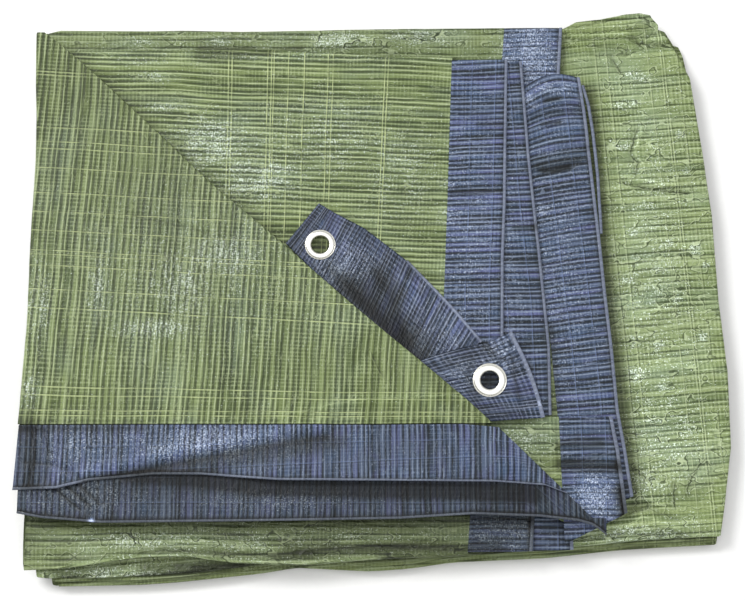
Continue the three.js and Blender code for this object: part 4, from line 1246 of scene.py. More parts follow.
def tab_patches(name):
    """The cloth of a tab, its hem and its cut edges."""
    tab = TABS[name]
    table = np.array(tab["edges"], float)
    lengths = np.hypot(*np.diff(table[:, 2:], axis=0).T)
    place = np.concatenate([[0], np.cumsum(lengths)])
    columns = np.linspace(0, place[-1], round(place[-1] / TAB_STEP) + 1)
    far_x, far_y, near_x, near_y = (np.interp(columns, place, column) for column in table.T)
    depth = float(np.hypot(far_x - near_x, far_y - near_y).mean())
    v = np.linspace(0, 1, round(depth / TAB_STEP) + 1)[:, None]
    x = near_x + (far_x - near_x) * v + tab["bow"] * np.sin(math.pi * v) * columns / place[-1]
    y = near_y + (far_y - near_y) * v
    eye_x, eye_y = EYELETS[name]
    centre_x = (x[:-1, :-1] + x[1:, 1:]) / 2
    centre_y = (y[:-1, :-1] + y[1:, 1:]) / 2
    patch = {
        "x": x,
        "y": y,
        "z": tab_height(name, x, y) + tab_relief(name, x, y) + STRIP_RISE,
        "weave": np.stack([depth * v + 0 * x, columns + 0 * x][:: tab["turn"]], axis=-1),
        **looks(f"tab_{name}", x, y),
        "material": 0,
        "keep": np.hypot(centre_x - eye_x, centre_y - eye_y) > TAB_HOLE,
    }
    whole = {key: value for key, value in patch.items() if key != "keep"}
    sides = {"near": "front", "far": "back", "left": "left", "right": "right"}
    edges = {key: line_of(whole, side) for key, side in sides.items()}
    outs = {"near": FRONTWARD, "far": BACKWARD, "left": LEFTWARD, "right": RIGHTWARD}
    side, first_row = tab["hem"]
    route = edges[side]
    if first_row:
        route = part_of(route, columns=slice(int(np.searchsorted(columns, place[first_row])), None))
    lips = [lip(edges[key], out) for key, out in outs.items()]
    return [patch, *lips, hem_patch(f"tab_{name}", route, tab["hem_width"])]


tabs = {name: sheet_object(f"blue_tab_{name}", tab_patches(name)) for name in TABS}

# %% [markdown]
# The eyelets
#
# An eyelet is pressed from thin aluminium: a rounded flange above, a barrel through the cloth, and a
# washer below. It is a profile turned round its axis, as a lathe would make it. The profile is drawn
# in more detail than the solid's, with the step that the die leaves round the rim.

# %% Eyelets
EYELET_HOLE = 6.0
EYELET_SIDES = 96
# Millimetres of the map for each radian of the turn
EYELET_ROUND = 12
# The photo shows the flange of the upper eyelet a little narrower
FLANGE_SHARES = {"upper": 0.82, "lower": 1.0}
EYELET_PROFILE = [
    # reach, rise above the middle of the tab
    (6.35, -1.3), (6.0, -1.0), (6.0, 0.85), (6.08, 1.2), (6.3, 1.5), (6.6, 1.68), (7.2, 1.78),
    (8.2, 1.8), (9.2, 1.74), (9.8, 1.62), (10.15, 1.4), (10.3, 1.1), (10.3, 0.6), (10.5, 0.45),
    (10.62, 0.8), (10.8, 1.0), (11.0, 1.02), (11.15, 0.92), (11.2, 0.75), (11.1, 0.62), (10.4, 0.56),
]


def eyelet_object(name):
    """An eyelet turned round its axis."""
    x, y = EYELETS[name]
    reach, rise = np.array(EYELET_PROFILE).T
    reach = EYELET_HOLE + (reach - EYELET_HOLE) * FLANGE_SHARES[name]
    turn = np.linspace(0, 2 * math.pi, EYELET_SIDES + 1)[:, None]
    patch = {
        "x": x + reach * np.cos(turn),
        "y": y + reach * np.sin(turn),
        "z": float(tab_height(name, np.array(x), np.array(y))) + rise + 0 * turn,
        "weave": np.stack([reach + 0 * turn, EYELET_ROUND * turn + 0 * reach], axis=-1),
        **{key: 0 * (reach + turn) for key in LOOKS},
        "material": 0,
    }
    return sheet_object(f"pressed_eyelet_{name}", [patch])


eyelets = {name: eyelet_object(name) for name in EYELETS}

# %% [markdown]
# Woven polyethylene
#
# Tarpaulin cloth is woven from flat tapes of polyethylene, and a thin clear film is melted on both
# faces. That gives the eye three things: bands a few millimetres wide, a plastic gloss, and glittering
# flecks where the film has been creased. In the bands, the dark where two tapes stand apart is painted
# shade, and the light along a tape's edge is a painted highlight; the flecks are painted glints and
# painted shade. The bands could be an image, but worked out from the weave map they stay sharp, and they
# turn with the cloth. A one-dimensional Voronoi pattern gives tapes of uneven width. Each of the next
# cells adds one thing to the cloth, and the last one lays them over each other.

# %% Colours and nodes
def linear(colour):
    """An sRGB hex value as a linear colour."""
    shares = [int(colour[i : i + 2], 16) / 255 for i in (1, 3, 5)]
    return (*(c / 12.92 if c <= 0.04045 else ((c + 0.055) / 1.055) ** 2.4 for c in shares), 1)


def added(tree, kind, inputs=None, output=0, **settings):
    """Adds a node with its settings, and its inputs as values or links. Gives one of its outputs."""
    made = tree.nodes.new(kind)
    for key, value in settings.items():
        setattr(made, key, value)
    for key, value in (inputs or {}).items():
        if isinstance(value, bpy.types.NodeSocket):
            tree.links.new(value, made.inputs[key])
        else:
            made.inputs[key].default_value = value
    return made.outputs[output]


# %% Tapes and broken lines
MATH = "ShaderNodeMath"
VECTOR = "ShaderNodeVectorMath"
RANGE = "ShaderNodeMapRange"
NOISE = "ShaderNodeTexNoise"
VORONOI = "ShaderNodeTexVoronoi"
BLEND = "ShaderNodeMix"
# How far the edge of a line between tapes is blurred, as a share of half its width
LINE_BLUR = 0.4


def broken(tree, place, long, wide, low, high, weak):
    """Noise stretched along the tapes, from weak to 1."""
    scaled = added(tree, VECTOR, {0: place, 1: (1 / long, 1 / wide, 1.0)}, operation="MULTIPLY")
    field = added(tree, NOISE, {"Vector": scaled, "Scale": 1.0, "Detail": 2.0})
    return added(tree, RANGE, {0: field, 1: low, 2: high, 3: weak, 4: 1.0}, clamp=True)


def tape_value(tree, across, pitch, uneven):
    """A random value for each tape."""
    spot = {"W": across, "Scale": 1 / pitch, "Randomness": uneven}
    colour = added(tree, VORONOI, spot, "Color", voronoi_dimensions="1D")
    return added(tree, "ShaderNodeSeparateColor", {0: colour}, "Red")


def tape_line(tree, across, pitch, uneven, shift, width, swell):
    """A line between tapes, shifted to one side. It swells and thins along its length."""
    moved = added(tree, MATH, {0: across, 1: shift}, operation="ADD")
    spot = {"W": moved, "Scale": 1 / pitch, "Randomness": uneven}
    away = added(tree, VORONOI, spot, "Distance", voronoi_dimensions="1D", feature="DISTANCE_TO_EDGE")
    half = width / 2 / pitch
    reach = added(tree, MATH, {0: swell, 1: half}, operation="MULTIPLY")
    inside = added(tree, MATH, {0: reach, 1: away}, operation="SUBTRACT")
    blur = half * LINE_BLUR
    return added(tree, RANGE, {0: inside, 1: -blur, 2: blur, 3: 0.0, 4: 1.0}, clamp=True)


# %% Place in the weave
# A slow and a quick wander: length of the waves, in millimetres, and how far the quick one reaches
WANDER_LONG = 45
WANDER_SHORT = 9
WANDER_SHORT_REACH = 0.2


def wandering_place(tree, long_reach):
    """The place in the weave in millimetres, pushed about so that no band runs quite straight."""
    place = added(tree, "ShaderNodeUVMap", uv_map="weave")
    for length, reach in ((WANDER_LONG, long_reach), (WANDER_SHORT, WANDER_SHORT_REACH)):
        field = added(tree, NOISE, {"Vector": place, "Scale": 1 / length, "Detail": 0.0}, "Color")
        field = added(tree, VECTOR, {0: field, 1: (0.5, 0.5, 0.5)}, operation="SUBTRACT")
        inputs = {0: field, 1: (reach, 2 * reach, 0), 2: place}
        place = added(tree, VECTOR, inputs, operation="MULTIPLY_ADD")
    return place


# %% Bands of the weave
# Each broken line: length and width of its breaks in millimetres, ends of the ramp, least value
GAP_BREAKS = (38, 3.6)
LIGHT_BREAKS = (30, 3.1, 0.36, 0.62, 0.10)
CROSS_BREAKS = (24, 18, 0.40, 0.62, 0.15)


def weave_bands(tree, look, place, u, v, kept):
    """Masks of the painted shade in the gaps and the painted highlight on the edges of the main tapes, and
    then of the cross tapes.
    """
    pitch, uneven, gap_width, light_width = look["main"]
    gap_swell = broken(tree, place, *GAP_BREAKS, *look["breaks"])
    light_swell = broken(tree, place, *LIGHT_BREAKS)
    gap_swell = added(tree, MATH, {0: gap_swell, 1: kept}, operation="MULTIPLY")
    light_swell = added(tree, MATH, {0: light_swell, 1: kept}, operation="MULTIPLY")
    gap = tape_line(tree, v, pitch, uneven, 0.0, gap_width, gap_swell)
    beside_gap = (gap_width + light_width) / 2
    light = tape_line(tree, v, pitch, uneven, beside_gap, light_width, light_swell)
    pitch, uneven, gap_width, light_width = look["cross"]
    patches = broken(tree, place, *CROSS_BREAKS)
    patches = added(tree, MATH, {0: patches, 1: kept}, operation="MULTIPLY")
    cross_gap = tape_line(tree, u, pitch, uneven, 0.0, gap_width, patches)
    cross_light = tape_line(tree, u, pitch, uneven, pitch / 2, light_width, patches)
    return gap, light, cross_gap, cross_light


# %% Tapes of other colours
# From here on, a layer is a mask, its share, and the colour that it brings
TAPE_BREAKS = (60, 4.5, 0.40, 0.56, 0.0)
TINT_RAMP = (0.50, 0.66, 0.0)
TINT_LENGTH = 1.6


def tape_layers(tree, look, place, value, kept, shine):
    """Tapes of other colours, patches of other tints, and a painted sheen where the film is rubbed."""
    layers = []
    stretches = broken(tree, place, *TAPE_BREAKS)
    stretches = added(tree, MATH, {0: stretches, 1: kept}, operation="MULTIPLY")
    for middle, half, share, tint in look["tapes"]:
        picked = added(tree, MATH, {0: value, 1: middle, 2: half}, operation="COMPARE")
        layers.append((added(tree, MATH, {0: picked, 1: stretches}, operation="MULTIPLY"), share, tint))
    for tint, share, size in look["tints"]:
        layers.append((broken(tree, place, TINT_LENGTH * size, size, *TINT_RAMP), share, tint))
    painted_sheen = added(tree, MATH, {0: shine, 1: look["painted_sheen"]}, operation="MULTIPLY")
    layers.append((painted_sheen, 1.0, look["painted_sheen_colour"]))
    return layers


# %% Light threads
THREAD_WIDTH = 0.36
THREAD_BREAKS = (30, 14, 0.36, 0.60, 0.25)
THREAD_SHADOW_SHIFT = 0.9
THREAD_SHADOW_SHARE = 0.4


def thread_layers(tree, look, place, u):
    """Single light threads, each with its shadow beside it."""
    layers = []
    thread = (0.0, look["thread_share"], look["thread"])
    shadow = (THREAD_SHADOW_SHIFT, THREAD_SHADOW_SHARE, look["dark"])
    thread_share = broken(tree, place, *THREAD_BREAKS)
    for at in look["threads"]:
        for shift, share, tint in (thread, shadow):
            near = added(tree, MATH, {0: u, 1: at + shift, 2: THREAD_WIDTH}, operation="COMPARE")
            near = added(tree, MATH, {0: near, 1: thread_share}, operation="MULTIPLY")
            layers.append((near, share, tint))
    return layers


# %% Flecks of creased film: painted glints and painted shade
# Glitter adds to the noise of the flecks, so that they are few where it is weak
FLECK_SPREAD = 0.22
FLECK_FROM = 0.76
FLECK_TO = 0.815
# A fleck in the gap between two tapes has this much less of its colour
FLECK_SUNK = 0.7


def painted_glint_layers(tree, look, place, seen, gap):
    """Small flecks of painted glint and painted shade, where the film has been creased."""
    layers = []
    raised = added(tree, MATH, {0: gap, 1: -FLECK_SUNK, 2: 1.0}, operation="MULTIPLY_ADD")
    for shift, (long, wide), share, tint in look["flecks"]:
        offset = added(tree, VECTOR, {0: place, 1: (shift, 0, 0)}, operation="ADD")
        scaled = added(tree, VECTOR, {0: offset, 1: (1 / long, 1 / wide, 1.0)}, operation="MULTIPLY")
        flecks = added(tree, NOISE, {"Vector": scaled, "Scale": 1.0, "Detail": 2.0})
        flecks = added(tree, MATH, {0: seen, 1: FLECK_SPREAD, 2: flecks}, operation="MULTIPLY_ADD")
        flecks = added(tree, RANGE, {0: flecks, 1: FLECK_FROM, 2: FLECK_TO, 3: 0.0, 4: 1.0}, clamp=True)
        layers.append((added(tree, MATH, {0: flecks, 1: raised}, operation="MULTIPLY"), share, tint))
    return layers


# %% Painted shade and highlight lines of the creases
CREASE_WOBBLE = 4.0
CREASE_WOBBLE_SCALE = 0.22
CREASE_BREAKS = (9, 9, 0.38, 0.58, 0.25)
# A line fades from its middle to its rim, in millimetres
CREASE_RIM = 0.65
CREASE_MIDDLE = 0.2
PAINTED_CREASE_LINES = (
    # place beside the crease, 1 for troughs and -1 for ridges, share, colour of the painted shade or
    # highlight
    (0.0, 1.0, 0.8, "dark"),
    (-1.0, 1.0, 0.55, "light"),
    (0.0, -1.0, 0.6, "light"),
)


def painted_crease_layers(tree, look, place):
    """A trough gets a painted shade line with a painted highlight beside it, and a ridge gets a painted
    highlight line.
    """
    layers = []
    side = added(tree, "ShaderNodeAttribute", output="Fac", attribute_name="side")
    depth = added(tree, "ShaderNodeAttribute", output="Fac", attribute_name="depth")
    wobble = added(tree, NOISE, {"Vector": place, "Scale": CREASE_WOBBLE_SCALE, "Detail": 2.0})
    wobble = added(tree, MATH, {0: wobble, 1: 0.5}, operation="SUBTRACT")
    side = added(tree, MATH, {0: wobble, 1: CREASE_WOBBLE, 2: side}, operation="MULTIPLY_ADD")
    breaks = broken(tree, place, *CREASE_BREAKS)
    depth = added(tree, MATH, {0: depth, 1: breaks}, operation="MULTIPLY")
    for at, sign, share, tint in PAINTED_CREASE_LINES:
        away = added(tree, MATH, {0: side, 1: at}, operation="SUBTRACT")
        away = added(tree, MATH, {0: away}, operation="ABSOLUTE")
        line = added(tree, RANGE, {0: away, 1: CREASE_RIM, 2: CREASE_MIDDLE, 3: 0.0, 4: sign}, clamp=True)
        line = added(tree, MATH, {0: line, 1: depth}, operation="MULTIPLY", use_clamp=True)
        layers.append((line, share, look[tint]))
    return layers


# %% Fine crinkle, painted as lines of highlight and shade
# Smooth noise crosses one value along thin crooked lines, and these are drawn as painted highlights and
# painted shade
CRINKLE_BREAKS = (13, 9, 0.41, 0.55, 0.0)
CRINKLE_LIGHT_AT = 0.50
CRINKLE_DARK_AT = 0.53
CRINKLE_RIM = 0.018
CRINKLE_MIDDLE = 0.006
# How crinkled a place is where nothing glitters, and what full glitter adds
CRINKLED_PLAIN = 0.45
CRINKLED_MORE = 0.7


def painted_crinkle_layers(tree, look, place, field, crinkled):
    """Thin painted highlight lines of fine creases, each with a painted shade line beside it."""
    layers = []
    where = broken(tree, place, *CRINKLE_BREAKS)
    where = added(tree, MATH, {0: where, 1: crinkled}, operation="MULTIPLY")
    highlight_share, shade_share = look["crinkle"][2:]
    for middle, share, tint in (
        (CRINKLE_LIGHT_AT, highlight_share, look["light"]),
        (CRINKLE_DARK_AT, shade_share, look["dark"]),
    ):
        away = added(tree, MATH, {0: field, 1: middle}, operation="SUBTRACT")
        away = added(tree, MATH, {0: away}, operation="ABSOLUTE")
        line = added(tree, RANGE, {0: away, 1: CRINKLE_RIM, 2: CRINKLE_MIDDLE, 3: 0.0, 4: 1.0}, clamp=True)
        layers.append((added(tree, MATH, {0: line, 1: where}, operation="MULTIPLY"), share, tint))
    return layers


# %% Shade and relief of the weave
PATCHY_BREAKS = (55, 30, 0.3, 0.7)
GRAIN_BREAKS = (1.1, 0.9, 0.3, 0.7)
FILM_BREAKS = (5.0, 1.6, 0.35, 0.65, 0.0)
BAND_HEIGHT = 0.35
RIDGE_WIDTH = 0.1


def weave_shade(tree, look, place, tone):
    """What the colour is multiplied by: the painted light and shade, slow patches, fine grain, and less blue
    where shade is painted.
    """
    patchy = broken(tree, place, *PATCHY_BREAKS, look["patchy"])
    grain = broken(tree, place, *GRAIN_BREAKS, look["grain"])
    lift = added(tree, MATH, {0: tone, 1: 1.0}, operation="ADD")
    lift = added(tree, MATH, {0: lift, 1: patchy}, operation="MULTIPLY")
    lift = added(tree, MATH, {0: lift, 1: grain}, operation="MULTIPLY")
    shade = added(tree, MATH, {0: tone, 1: 0.0}, operation="MINIMUM")
    painted_shade_blue = added(tree, MATH, {0: shade, 1: look["shade_blue_loss"], 2: 1.0}, operation="MULTIPLY_ADD")
    painted_shade_blue = added(tree, MATH, {0: lift, 1: painted_shade_blue}, operation="MULTIPLY")
    return added(tree, "ShaderNodeCombineXYZ", {0: lift, 1: lift, 2: painted_shade_blue})


def weave_height(tree, look, place, bands, seen, field, crinkled):
    """Height of the surface: the bands, the creased film and the ridges of the crinkle."""
    film = broken(tree, place, *FILM_BREAKS)
    film = added(tree, MATH, {0: film, 1: seen}, operation="MULTIPLY")
    height = added(tree, MATH, {0: bands, 1: BAND_HEIGHT, 2: film}, operation="MULTIPLY_ADD")
    ridge = added(tree, MATH, {0: field, 1: CRINKLE_LIGHT_AT}, operation="SUBTRACT")
    ridge = added(tree, MATH, {0: ridge}, operation="ABSOLUTE")
    ridge = added(tree, RANGE, {0: ridge, 1: 0.0, 2: RIDGE_WIDTH, 3: 1.0, 4: 0.0}, clamp=True)
    ridge = added(tree, MATH, {0: ridge, 1: crinkled}, operation="MULTIPLY")
    return added(tree, MATH, {0: ridge, 1: look["ridges"], 2: height}, operation="MULTIPLY_ADD")


# %% Woven polyethylene
# Polyethylene bends light as most plastics do. Its film is thin and worn, so it is less glossy
FILM_IOR = 1.51
FILM_GLOSS = 0.25
ROUGH_PLAIN = 0.52
ROUGH_SHINY = 0.30
BUMP_STRENGTH = 0.8
BUMP_METRES = 0.00045
# Flecks come in clusters
CLUSTER_BREAKS = (14, 5, 0.34, 0.60, 0.35)


def woven_polyethylene(name, look):
    """Coated woven tapes: bands, light threads, flecks of creased film, and a plastic gloss."""
    material = bpy.data.materials.new(name)
    material.use_nodes = True
    tree = material.node_tree
    shader = tree.nodes["Principled BSDF"]
    place = wandering_place(tree, look["wander"])
    u = added(tree, "ShaderNodeSeparateXYZ", {0: place}, "X")
    v = added(tree, "ShaderNodeSeparateXYZ", {0: place}, "Y")
    shine = added(tree, "ShaderNodeAttribute", output="Fac", attribute_name="shine")
    tone = added(tree, "ShaderNodeAttribute", output="Fac", attribute_name="tone")
    fade = added(tree, "ShaderNodeAttribute", output="Fac", attribute_name="fade")
    kept = added(tree, MATH, {0: 1.0, 1: fade}, operation="SUBTRACT")
    clusters = broken(tree, place, *CLUSTER_BREAKS)
    inputs = {0: shine, 1: clusters, 2: look["rubbed"]}
    seen = added(tree, MATH, inputs, operation="MULTIPLY_ADD", use_clamp=True)
    crinkled = added(tree, MATH, {0: shine, 1: CRINKLED_MORE, 2: CRINKLED_PLAIN}, operation="MULTIPLY_ADD")
    long, wide = look["crinkle"][:2]
    scaled = added(tree, VECTOR, {0: place, 1: (1 / long, 1 / wide, 0.0)}, operation="MULTIPLY")
    field = added(tree, NOISE, {"Vector": scaled, "Scale": 1.0, "Detail": 1.0})

    value = tape_value(tree, v, *look["main"][:2])
    gap, light, cross_gap, cross_light = weave_bands(tree, look, place, u, v, kept)
    layers = [
        *tape_layers(tree, look, place, value, kept, shine),
        # Gaps are painted shade between the tapes, and light edges are painted highlights on their lit side
        (cross_gap, look["cross_share"], look["dark"]),
        (cross_light, look["cross_light_share"], look["light"]),
        (gap, look["gap_share"], look["dark"]),
        (light, look["light_share"], look["light"]),
        *thread_layers(tree, look, place, u),
        *painted_glint_layers(tree, look, place, seen, gap),
        *painted_crease_layers(tree, look, place),
        *painted_crinkle_layers(tree, look, place, field, crinkled),
    ]
    dull, plain = linear(look["dull"]), linear(look["plain"])
    colour = added(tree, BLEND, {0: value, 6: dull, 7: plain}, 2, data_type="RGBA")
    for mask, share, tint in layers:
        amount = added(tree, MATH, {0: mask, 1: share}, operation="MULTIPLY", use_clamp=True)
        colour = added(tree, BLEND, {0: amount, 6: colour, 7: linear(tint)}, 2, data_type="RGBA")
    shade = weave_shade(tree, look, place, tone)
    colour = added(tree, VECTOR, {0: colour, 1: shade}, operation="MULTIPLY")

    bands = added(tree, MATH, {0: light, 1: gap}, operation="SUBTRACT")
    height = weave_height(tree, look, place, bands, seen, field, crinkled)
    inputs = {"Height": height, "Strength": BUMP_STRENGTH, "Distance": BUMP_METRES}
    bump = added(tree, "ShaderNodeBump", inputs)
    rough = added(tree, RANGE, {0: shine, 1: 0.0, 2: 1.0, 3: ROUGH_PLAIN, 4: ROUGH_SHINY})
    for key, socket in (("Base Color", colour), ("Normal", bump), ("Roughness", rough)):
        tree.links.new(socket, shader.inputs[key])
    shader.inputs["IOR"].default_value = FILM_IOR
    shader.inputs["Specular IOR Level"].default_value = FILM_GLOSS
    print(name, len(tree.nodes), "nodes")
    return material


# %% [markdown]
# Olive cloth
#
# The dye is in the tapes, and some tapes are darker, paler or greyer than the rest. A light tarpaulin
# has six or seven tapes to the inch, so their bands stand about 4 mm apart. The stack, the upper ply
# and the flap have been rubbed in different ways, so each has its own values, which start from the
# same ones.

# %% Olive cloth
# Main and cross tapes: pitch, unevenness, width of the dark gap and of the light edge, in millimetres
# Breaks: two ends of the ramp and the least width of a gap along its length
# Tapes of other colours: middle and half of the range of random values, share, colour
# Tints: colour, share, width in millimetres
# Flecks of painted glint and shade: shift along the tape, then length and width, share, colour
# Crinkle: length and width in millimetres, share of the painted highlight lines and of the painted shade ones
# Shade blue loss: how much of its blue a place with painted shade loses
OLIVE = {
    "wander": 1.2,
    "main": (3.7, 0.75, 2.2, 1.0),
    "cross": (2.7, 0.6, 1.2, 0.9),
    "breaks": (0.34, 0.62, 0.10),
    "plain": "#87975f",
    "dull": "#63723f",
    "dark": "#1f2b0c",
    "light": "#b6c496",
    "thread": "#c9d69c",
    "thread_share": 0.7,
    "painted_sheen_colour": "#93a691",
    "tapes": [(0.08, 0.08, 0.65, "#46552a"), (0.9, 0.1, 0.45, "#9fae83"), (0.5, 0.06, 0.5, "#5a6754")],
    "tints": [("#84945a", 0.5, 16), ("#7f9079", 0.4, 34)],
    # Painted sheen: a paler colour painted where the film glitters
    "painted_sheen": 0.35,
    "gap_share": 0.78,
    "light_share": 0.85,
    "cross_share": 0.22,
    "cross_light_share": 0.25,
    # How much creased film, with its painted glints, shows outside the patches
    "rubbed": 0.22,
    "flecks": [
        (40.0, (2.4, 0.7), 0.8, "#2c3a22"),
        (90.0, (2.6, 0.6), 0.95, "#dcedda"),
        (150.0, (0.7, 1.7), 0.95, "#eefaec"),
    ],
    "crinkle": (9.0, 5.0, 0.5, 0.5),
    "ridges": 0.8,
    "patchy": 0.86,
    "grain": 0.88,
    "shade_blue_loss": 0.15,
    "threads": (),
}
# The stack's cloth is rubbed all over, so its bands are fainter and it is full of fine creases
OLIVE_STACK = {
    **OLIVE,
    "main": (4.3, 0.95, 1.9, 1.0),
    "breaks": (0.42, 0.64, 0.0),
    "gap_share": 0.72,
    "light_share": 0.6,
    "rubbed": 0.20,
    "crinkle": (13.0, 8.0, 0.8, 0.95),
    "ridges": 1.6,
    "tapes": [(0.06, 0.06, 0.55, "#55643a"), (0.85, 0.12, 0.4, "#9aaa78")],
    "thread": "#b7c499",
    "thread_share": 0.45,
    "plain": "#87955f",
    "light": "#b4c29a",
    "threads": (166.5, 174, 202.7, 211.8, 213.6, 223),
}
# Light threads stand where the photo shows them, as places along the main bands
FIRST_THREADS = (-98.9, -96.6, -71.8, -69.2, -67.6, -57.7, -46.9, -30.6, -27.2, 8.6, 10.7)
FLAP_THREADS = (
    5, 8, 17, 22, 71, 83.5, 99.7, 107.2, 110, 123.7, 136.8, 150, 167.4, 181, 186, 196, 233.7, 236,
)
olive_stack = woven_polyethylene("olive_woven_polyethylene", OLIVE_STACK)
olive_first = woven_polyethylene("olive_woven_first", {**OLIVE, "threads": FIRST_THREADS})
olive_flap = woven_polyethylene(
    "olive_woven_flap",
    {
        **OLIVE,
        "threads": FLAP_THREADS,
        "main": (4.0, 0.7, 2.3, 1.05),
        "gap_share": 0.70,
        "cross_share": 0.32,
        "cross_light_share": 0.4,
    },
)
for material in (olive_stack, olive_first, olive_flap):
    cloth.data.materials.append(material)

# %% [markdown]
# Blue border
#
# The border is the same woven tape in slate blue, with a closer and darker weave. Its hem is pulled
# tight over the cord, so the weave hardly shows there. Its paler colour is partly whitened plastic and
# partly a painted highlight on the round of the cord. On the doubled tabs both sets of tapes show alike.

# %% Blue border
BLUE = {
    "wander": 1.0,
    "main": (3.6, 0.8, 2.3, 1.0),
    "cross": (3.1, 0.7, 1.2, 0.9),
    "breaks": (0.34, 0.62, 0.15),
    "plain": "#5c6a86",
    "dull": "#40506a",
    "dark": "#0b100c",
    "light": "#94a2ba",
    "thread": "#7f92bd",
    "thread_share": 0.45,
    "painted_sheen_colour": "#66799b",
    "tapes": [
        (0.1, 0.1, 0.75, "#1d2522"),
        (0.5, 0.14, 0.7, "#6a70a4"),
        (0.8, 0.08, 0.5, "#4a6076"),
    ],
    "tints": [("#46628a", 0.5, 18), ("#62629a", 0.3, 12)],
    "painted_sheen": 0.4,
    "gap_share": 0.85,
    "light_share": 0.75,
    "cross_share": 0.3,
    "cross_light_share": 0.3,
    "rubbed": 0.32,
    "flecks": [
        (40.0, (2.4, 0.7), 0.85, "#1b2124"),
        (90.0, (2.6, 0.6), 0.85, "#b4c4e2"),
        (150.0, (0.7, 1.7), 0.85, "#d2def2"),
    ],
    "crinkle": (8.0, 4.0, 0.6, 0.7),
    "ridges": 0.8,
    "patchy": 0.82,
    "grain": 0.86,
    "shade_blue_loss": 0.2,
    "threads": (14, 30),
}
blue_border = woven_polyethylene("blue_woven_polyethylene", BLUE)
# The hem's paler colours are partly whitened plastic and partly a painted highlight on the round hem
HEM = {
    **BLUE,
    "threads": (),
    "plain": "#838b9e",
    "dull": "#777f95",
    "gap_share": 0.15,
    "light_share": 0.15,
    "cross_share": 0.15,
    "cross_light_share": 0.1,
    "tapes": [],
    "tints": [],
}
blue_hem = woven_polyethylene("blue_hem_polyethylene", HEM)
TAB = {
    **BLUE,
    "main": (2.7, 0.75, 1.5, 0.75),
    "cross": (2.9, 0.7, 1.4, 0.7),
    "breaks": (0.40, 0.62, 0.2),
    "plain": "#525e76",
    "dull": "#303d52",
    "tapes": [(0.1, 0.1, 0.6, "#1b2426"), (0.6, 0.1, 0.5, "#5a6394")],
    "gap_share": 0.7,
    "cross_share": 0.6,
    "cross_light_share": 0.55,
    "light_share": 0.7,
    "light": "#929bb0",
    "ridges": 1.4,
    "patchy": 0.65,
    "threads": (),
}
blue_tab = woven_polyethylene("blue_tab_polyethylene", TAB)
for strip in strips.values():
    strip.data.materials.append(blue_border)
for tab in tabs.values():
    tab.data.materials.append(blue_tab)
for strip in (*strips.values(), *tabs.values()):
    strip.data.materials.append(blue_hem)

# %% [markdown]
# Pressed aluminium
#
# The eyelets are stamped from aluminium sheet and tumbled, so they are bright but not mirror-like,
# with fine dull scratches. Noise in the roughness and a faint bump give that.

# %% Pressed aluminium
# Waves of the noise in a metre, so that a scratch is a little under a millimetre wide
SCRATCH = 1200


def pressed_aluminium():
    """Bright tumbled metal."""
    material = bpy.data.materials.new("pressed_aluminium")
    material.use_nodes = True
    tree = material.node_tree
    shader = tree.nodes["Principled BSDF"]
    place = added(tree, "ShaderNodeTexCoord", output="Object")
    field = added(tree, NOISE, {"Vector": place, "Scale": float(SCRATCH), "Detail": 3.0})
    rough = added(tree, RANGE, {0: field, 1: 0.3, 2: 0.7, 3: 0.24, 4: 0.42})
    colour = added(
        tree, BLEND, {0: field, 6: linear("#eeede6"), 7: linear("#dfded8")}, 2, data_type="RGBA"
    )
    bump = added(tree, "ShaderNodeBump", {"Height": field, "Strength": 0.2, "Distance": 0.00005})
    for key, value in (("Base Color", colour), ("Roughness", rough), ("Normal", bump)):
        tree.links.new(value, shader.inputs[key])
    shader.inputs["Metallic"].default_value = 1.0
    return material


aluminium = pressed_aluminium()
for ring in eyelets.values():
    ring.data.materials.append(aluminium)

# %% [markdown]
# Floor and light
#
# The floor is a plain sheet of pale paper. One soft lamp stands to the left and behind, so that the
# folds throw short shadows to the right and to the front. A wide lamp above and a pale world fill
# them.

# %% Floor and light
FLOOR_SIZE = 8.0
# Waves of the paper's grain in a metre
PAPER_TOOTH = 300.0
WORLD_STRENGTH = 0.60
LAMPS = [
    # name, x, y, z in metres, size, watts
    ("key", -1.0, 0.75, 1.5, 0.7, 23),
    ("top", 0.2, -0.1, 2.2, 2.2, 14),
]


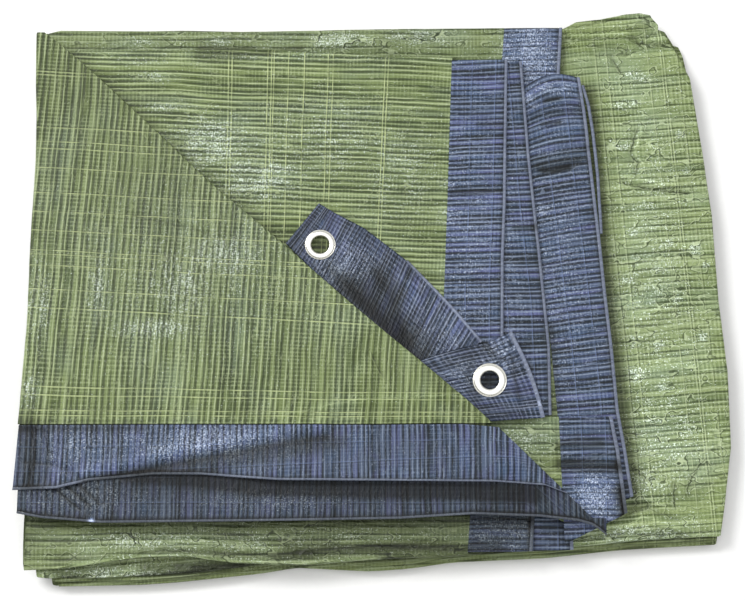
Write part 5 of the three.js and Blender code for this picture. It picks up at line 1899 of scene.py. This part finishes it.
def pale_paper():
    """Matt white paper with a faint tooth."""
    material = bpy.data.materials.new("pale_paper")
    material.use_nodes = True
    tree = material.node_tree
    shader = tree.nodes["Principled BSDF"]
    place = added(tree, "ShaderNodeTexCoord", output="Object")
    field = added(tree, NOISE, {"Vector": place, "Scale": PAPER_TOOTH, "Detail": 2.0})
    colour = added(
        tree, BLEND, {0: field, 6: linear("#f7f7f6"), 7: linear("#fbfbfa")}, 2, data_type="RGBA"
    )
    tree.links.new(colour, shader.inputs["Base Color"])
    shader.inputs["Roughness"].default_value = 0.95
    shader.inputs["Specular IOR Level"].default_value = 0.1
    return material


corner = FLOOR_SIZE / 2
floor_mesh = bpy.data.meshes.new("floor")
floor_mesh.from_pydata(
    [(-corner, -corner, 0), (corner, -corner, 0), (corner, corner, 0), (-corner, corner, 0)],
    [],
    [(0, 1, 2, 3)],
)
floor = bpy.data.objects.new("floor", floor_mesh)
bpy.context.scene.collection.objects.link(floor)
floor_mesh.materials.append(pale_paper())
floor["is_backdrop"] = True
for name, x, y, z, size, watts in LAMPS:
    lamp = bpy.data.objects.new(name, bpy.data.lights.new(name, "AREA"))
    lamp.data.size = size
    lamp.data.energy = watts
    lamp.location = (x, y, z)
    lamp.rotation_euler = (-Vector((x, y, z))).to_track_quat("-Z", "Y").to_euler()
    bpy.context.scene.collection.objects.link(lamp)
world = bpy.data.worlds.new("pale_world")
world.use_nodes = True
background = world.node_tree.nodes["Background"]
background.inputs["Color"].default_value = (1, 1, 1, 1)
background.inputs["Strength"].default_value = WORLD_STRENGTH
bpy.context.scene.world = world
bpy.context.scene.view_settings.view_transform = "Standard"

# %% [markdown]
# Say what stands for what
#
# Every look piece takes the place of its solid and rides on the one body of the part. All of the
# modelled plies come from a tarpaulin of about 2.0 by 1.5 m, less its border.


def declared(piece, node):
    """The piece rides on the part's body and stands for its solid."""
    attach(piece, "root")
    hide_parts(node)


declared(cloth, "tarp_cloth")
for name, *_, hem_ends, _hem_width, _rises in STRIPS:
    declared(strips[name], f"border_{name}")
for name, tab in tabs.items():
    declared(tab, f"tab_{name}")
    declared(eyelets[name], f"eyelet_{name}")
print("pieces declared:", 1 + len(strips) + 2 * len(tabs))

# %% Measure and finish
look_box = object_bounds()
plain_boxes = {
    name: [list(corner) for corner in box] for name, box in (("cad", cad_box), ("visual", look_box))
}
for name, box in plain_boxes.items():
    print(name, [[round(value * 1000, 1) for value in corner] for corner in box])
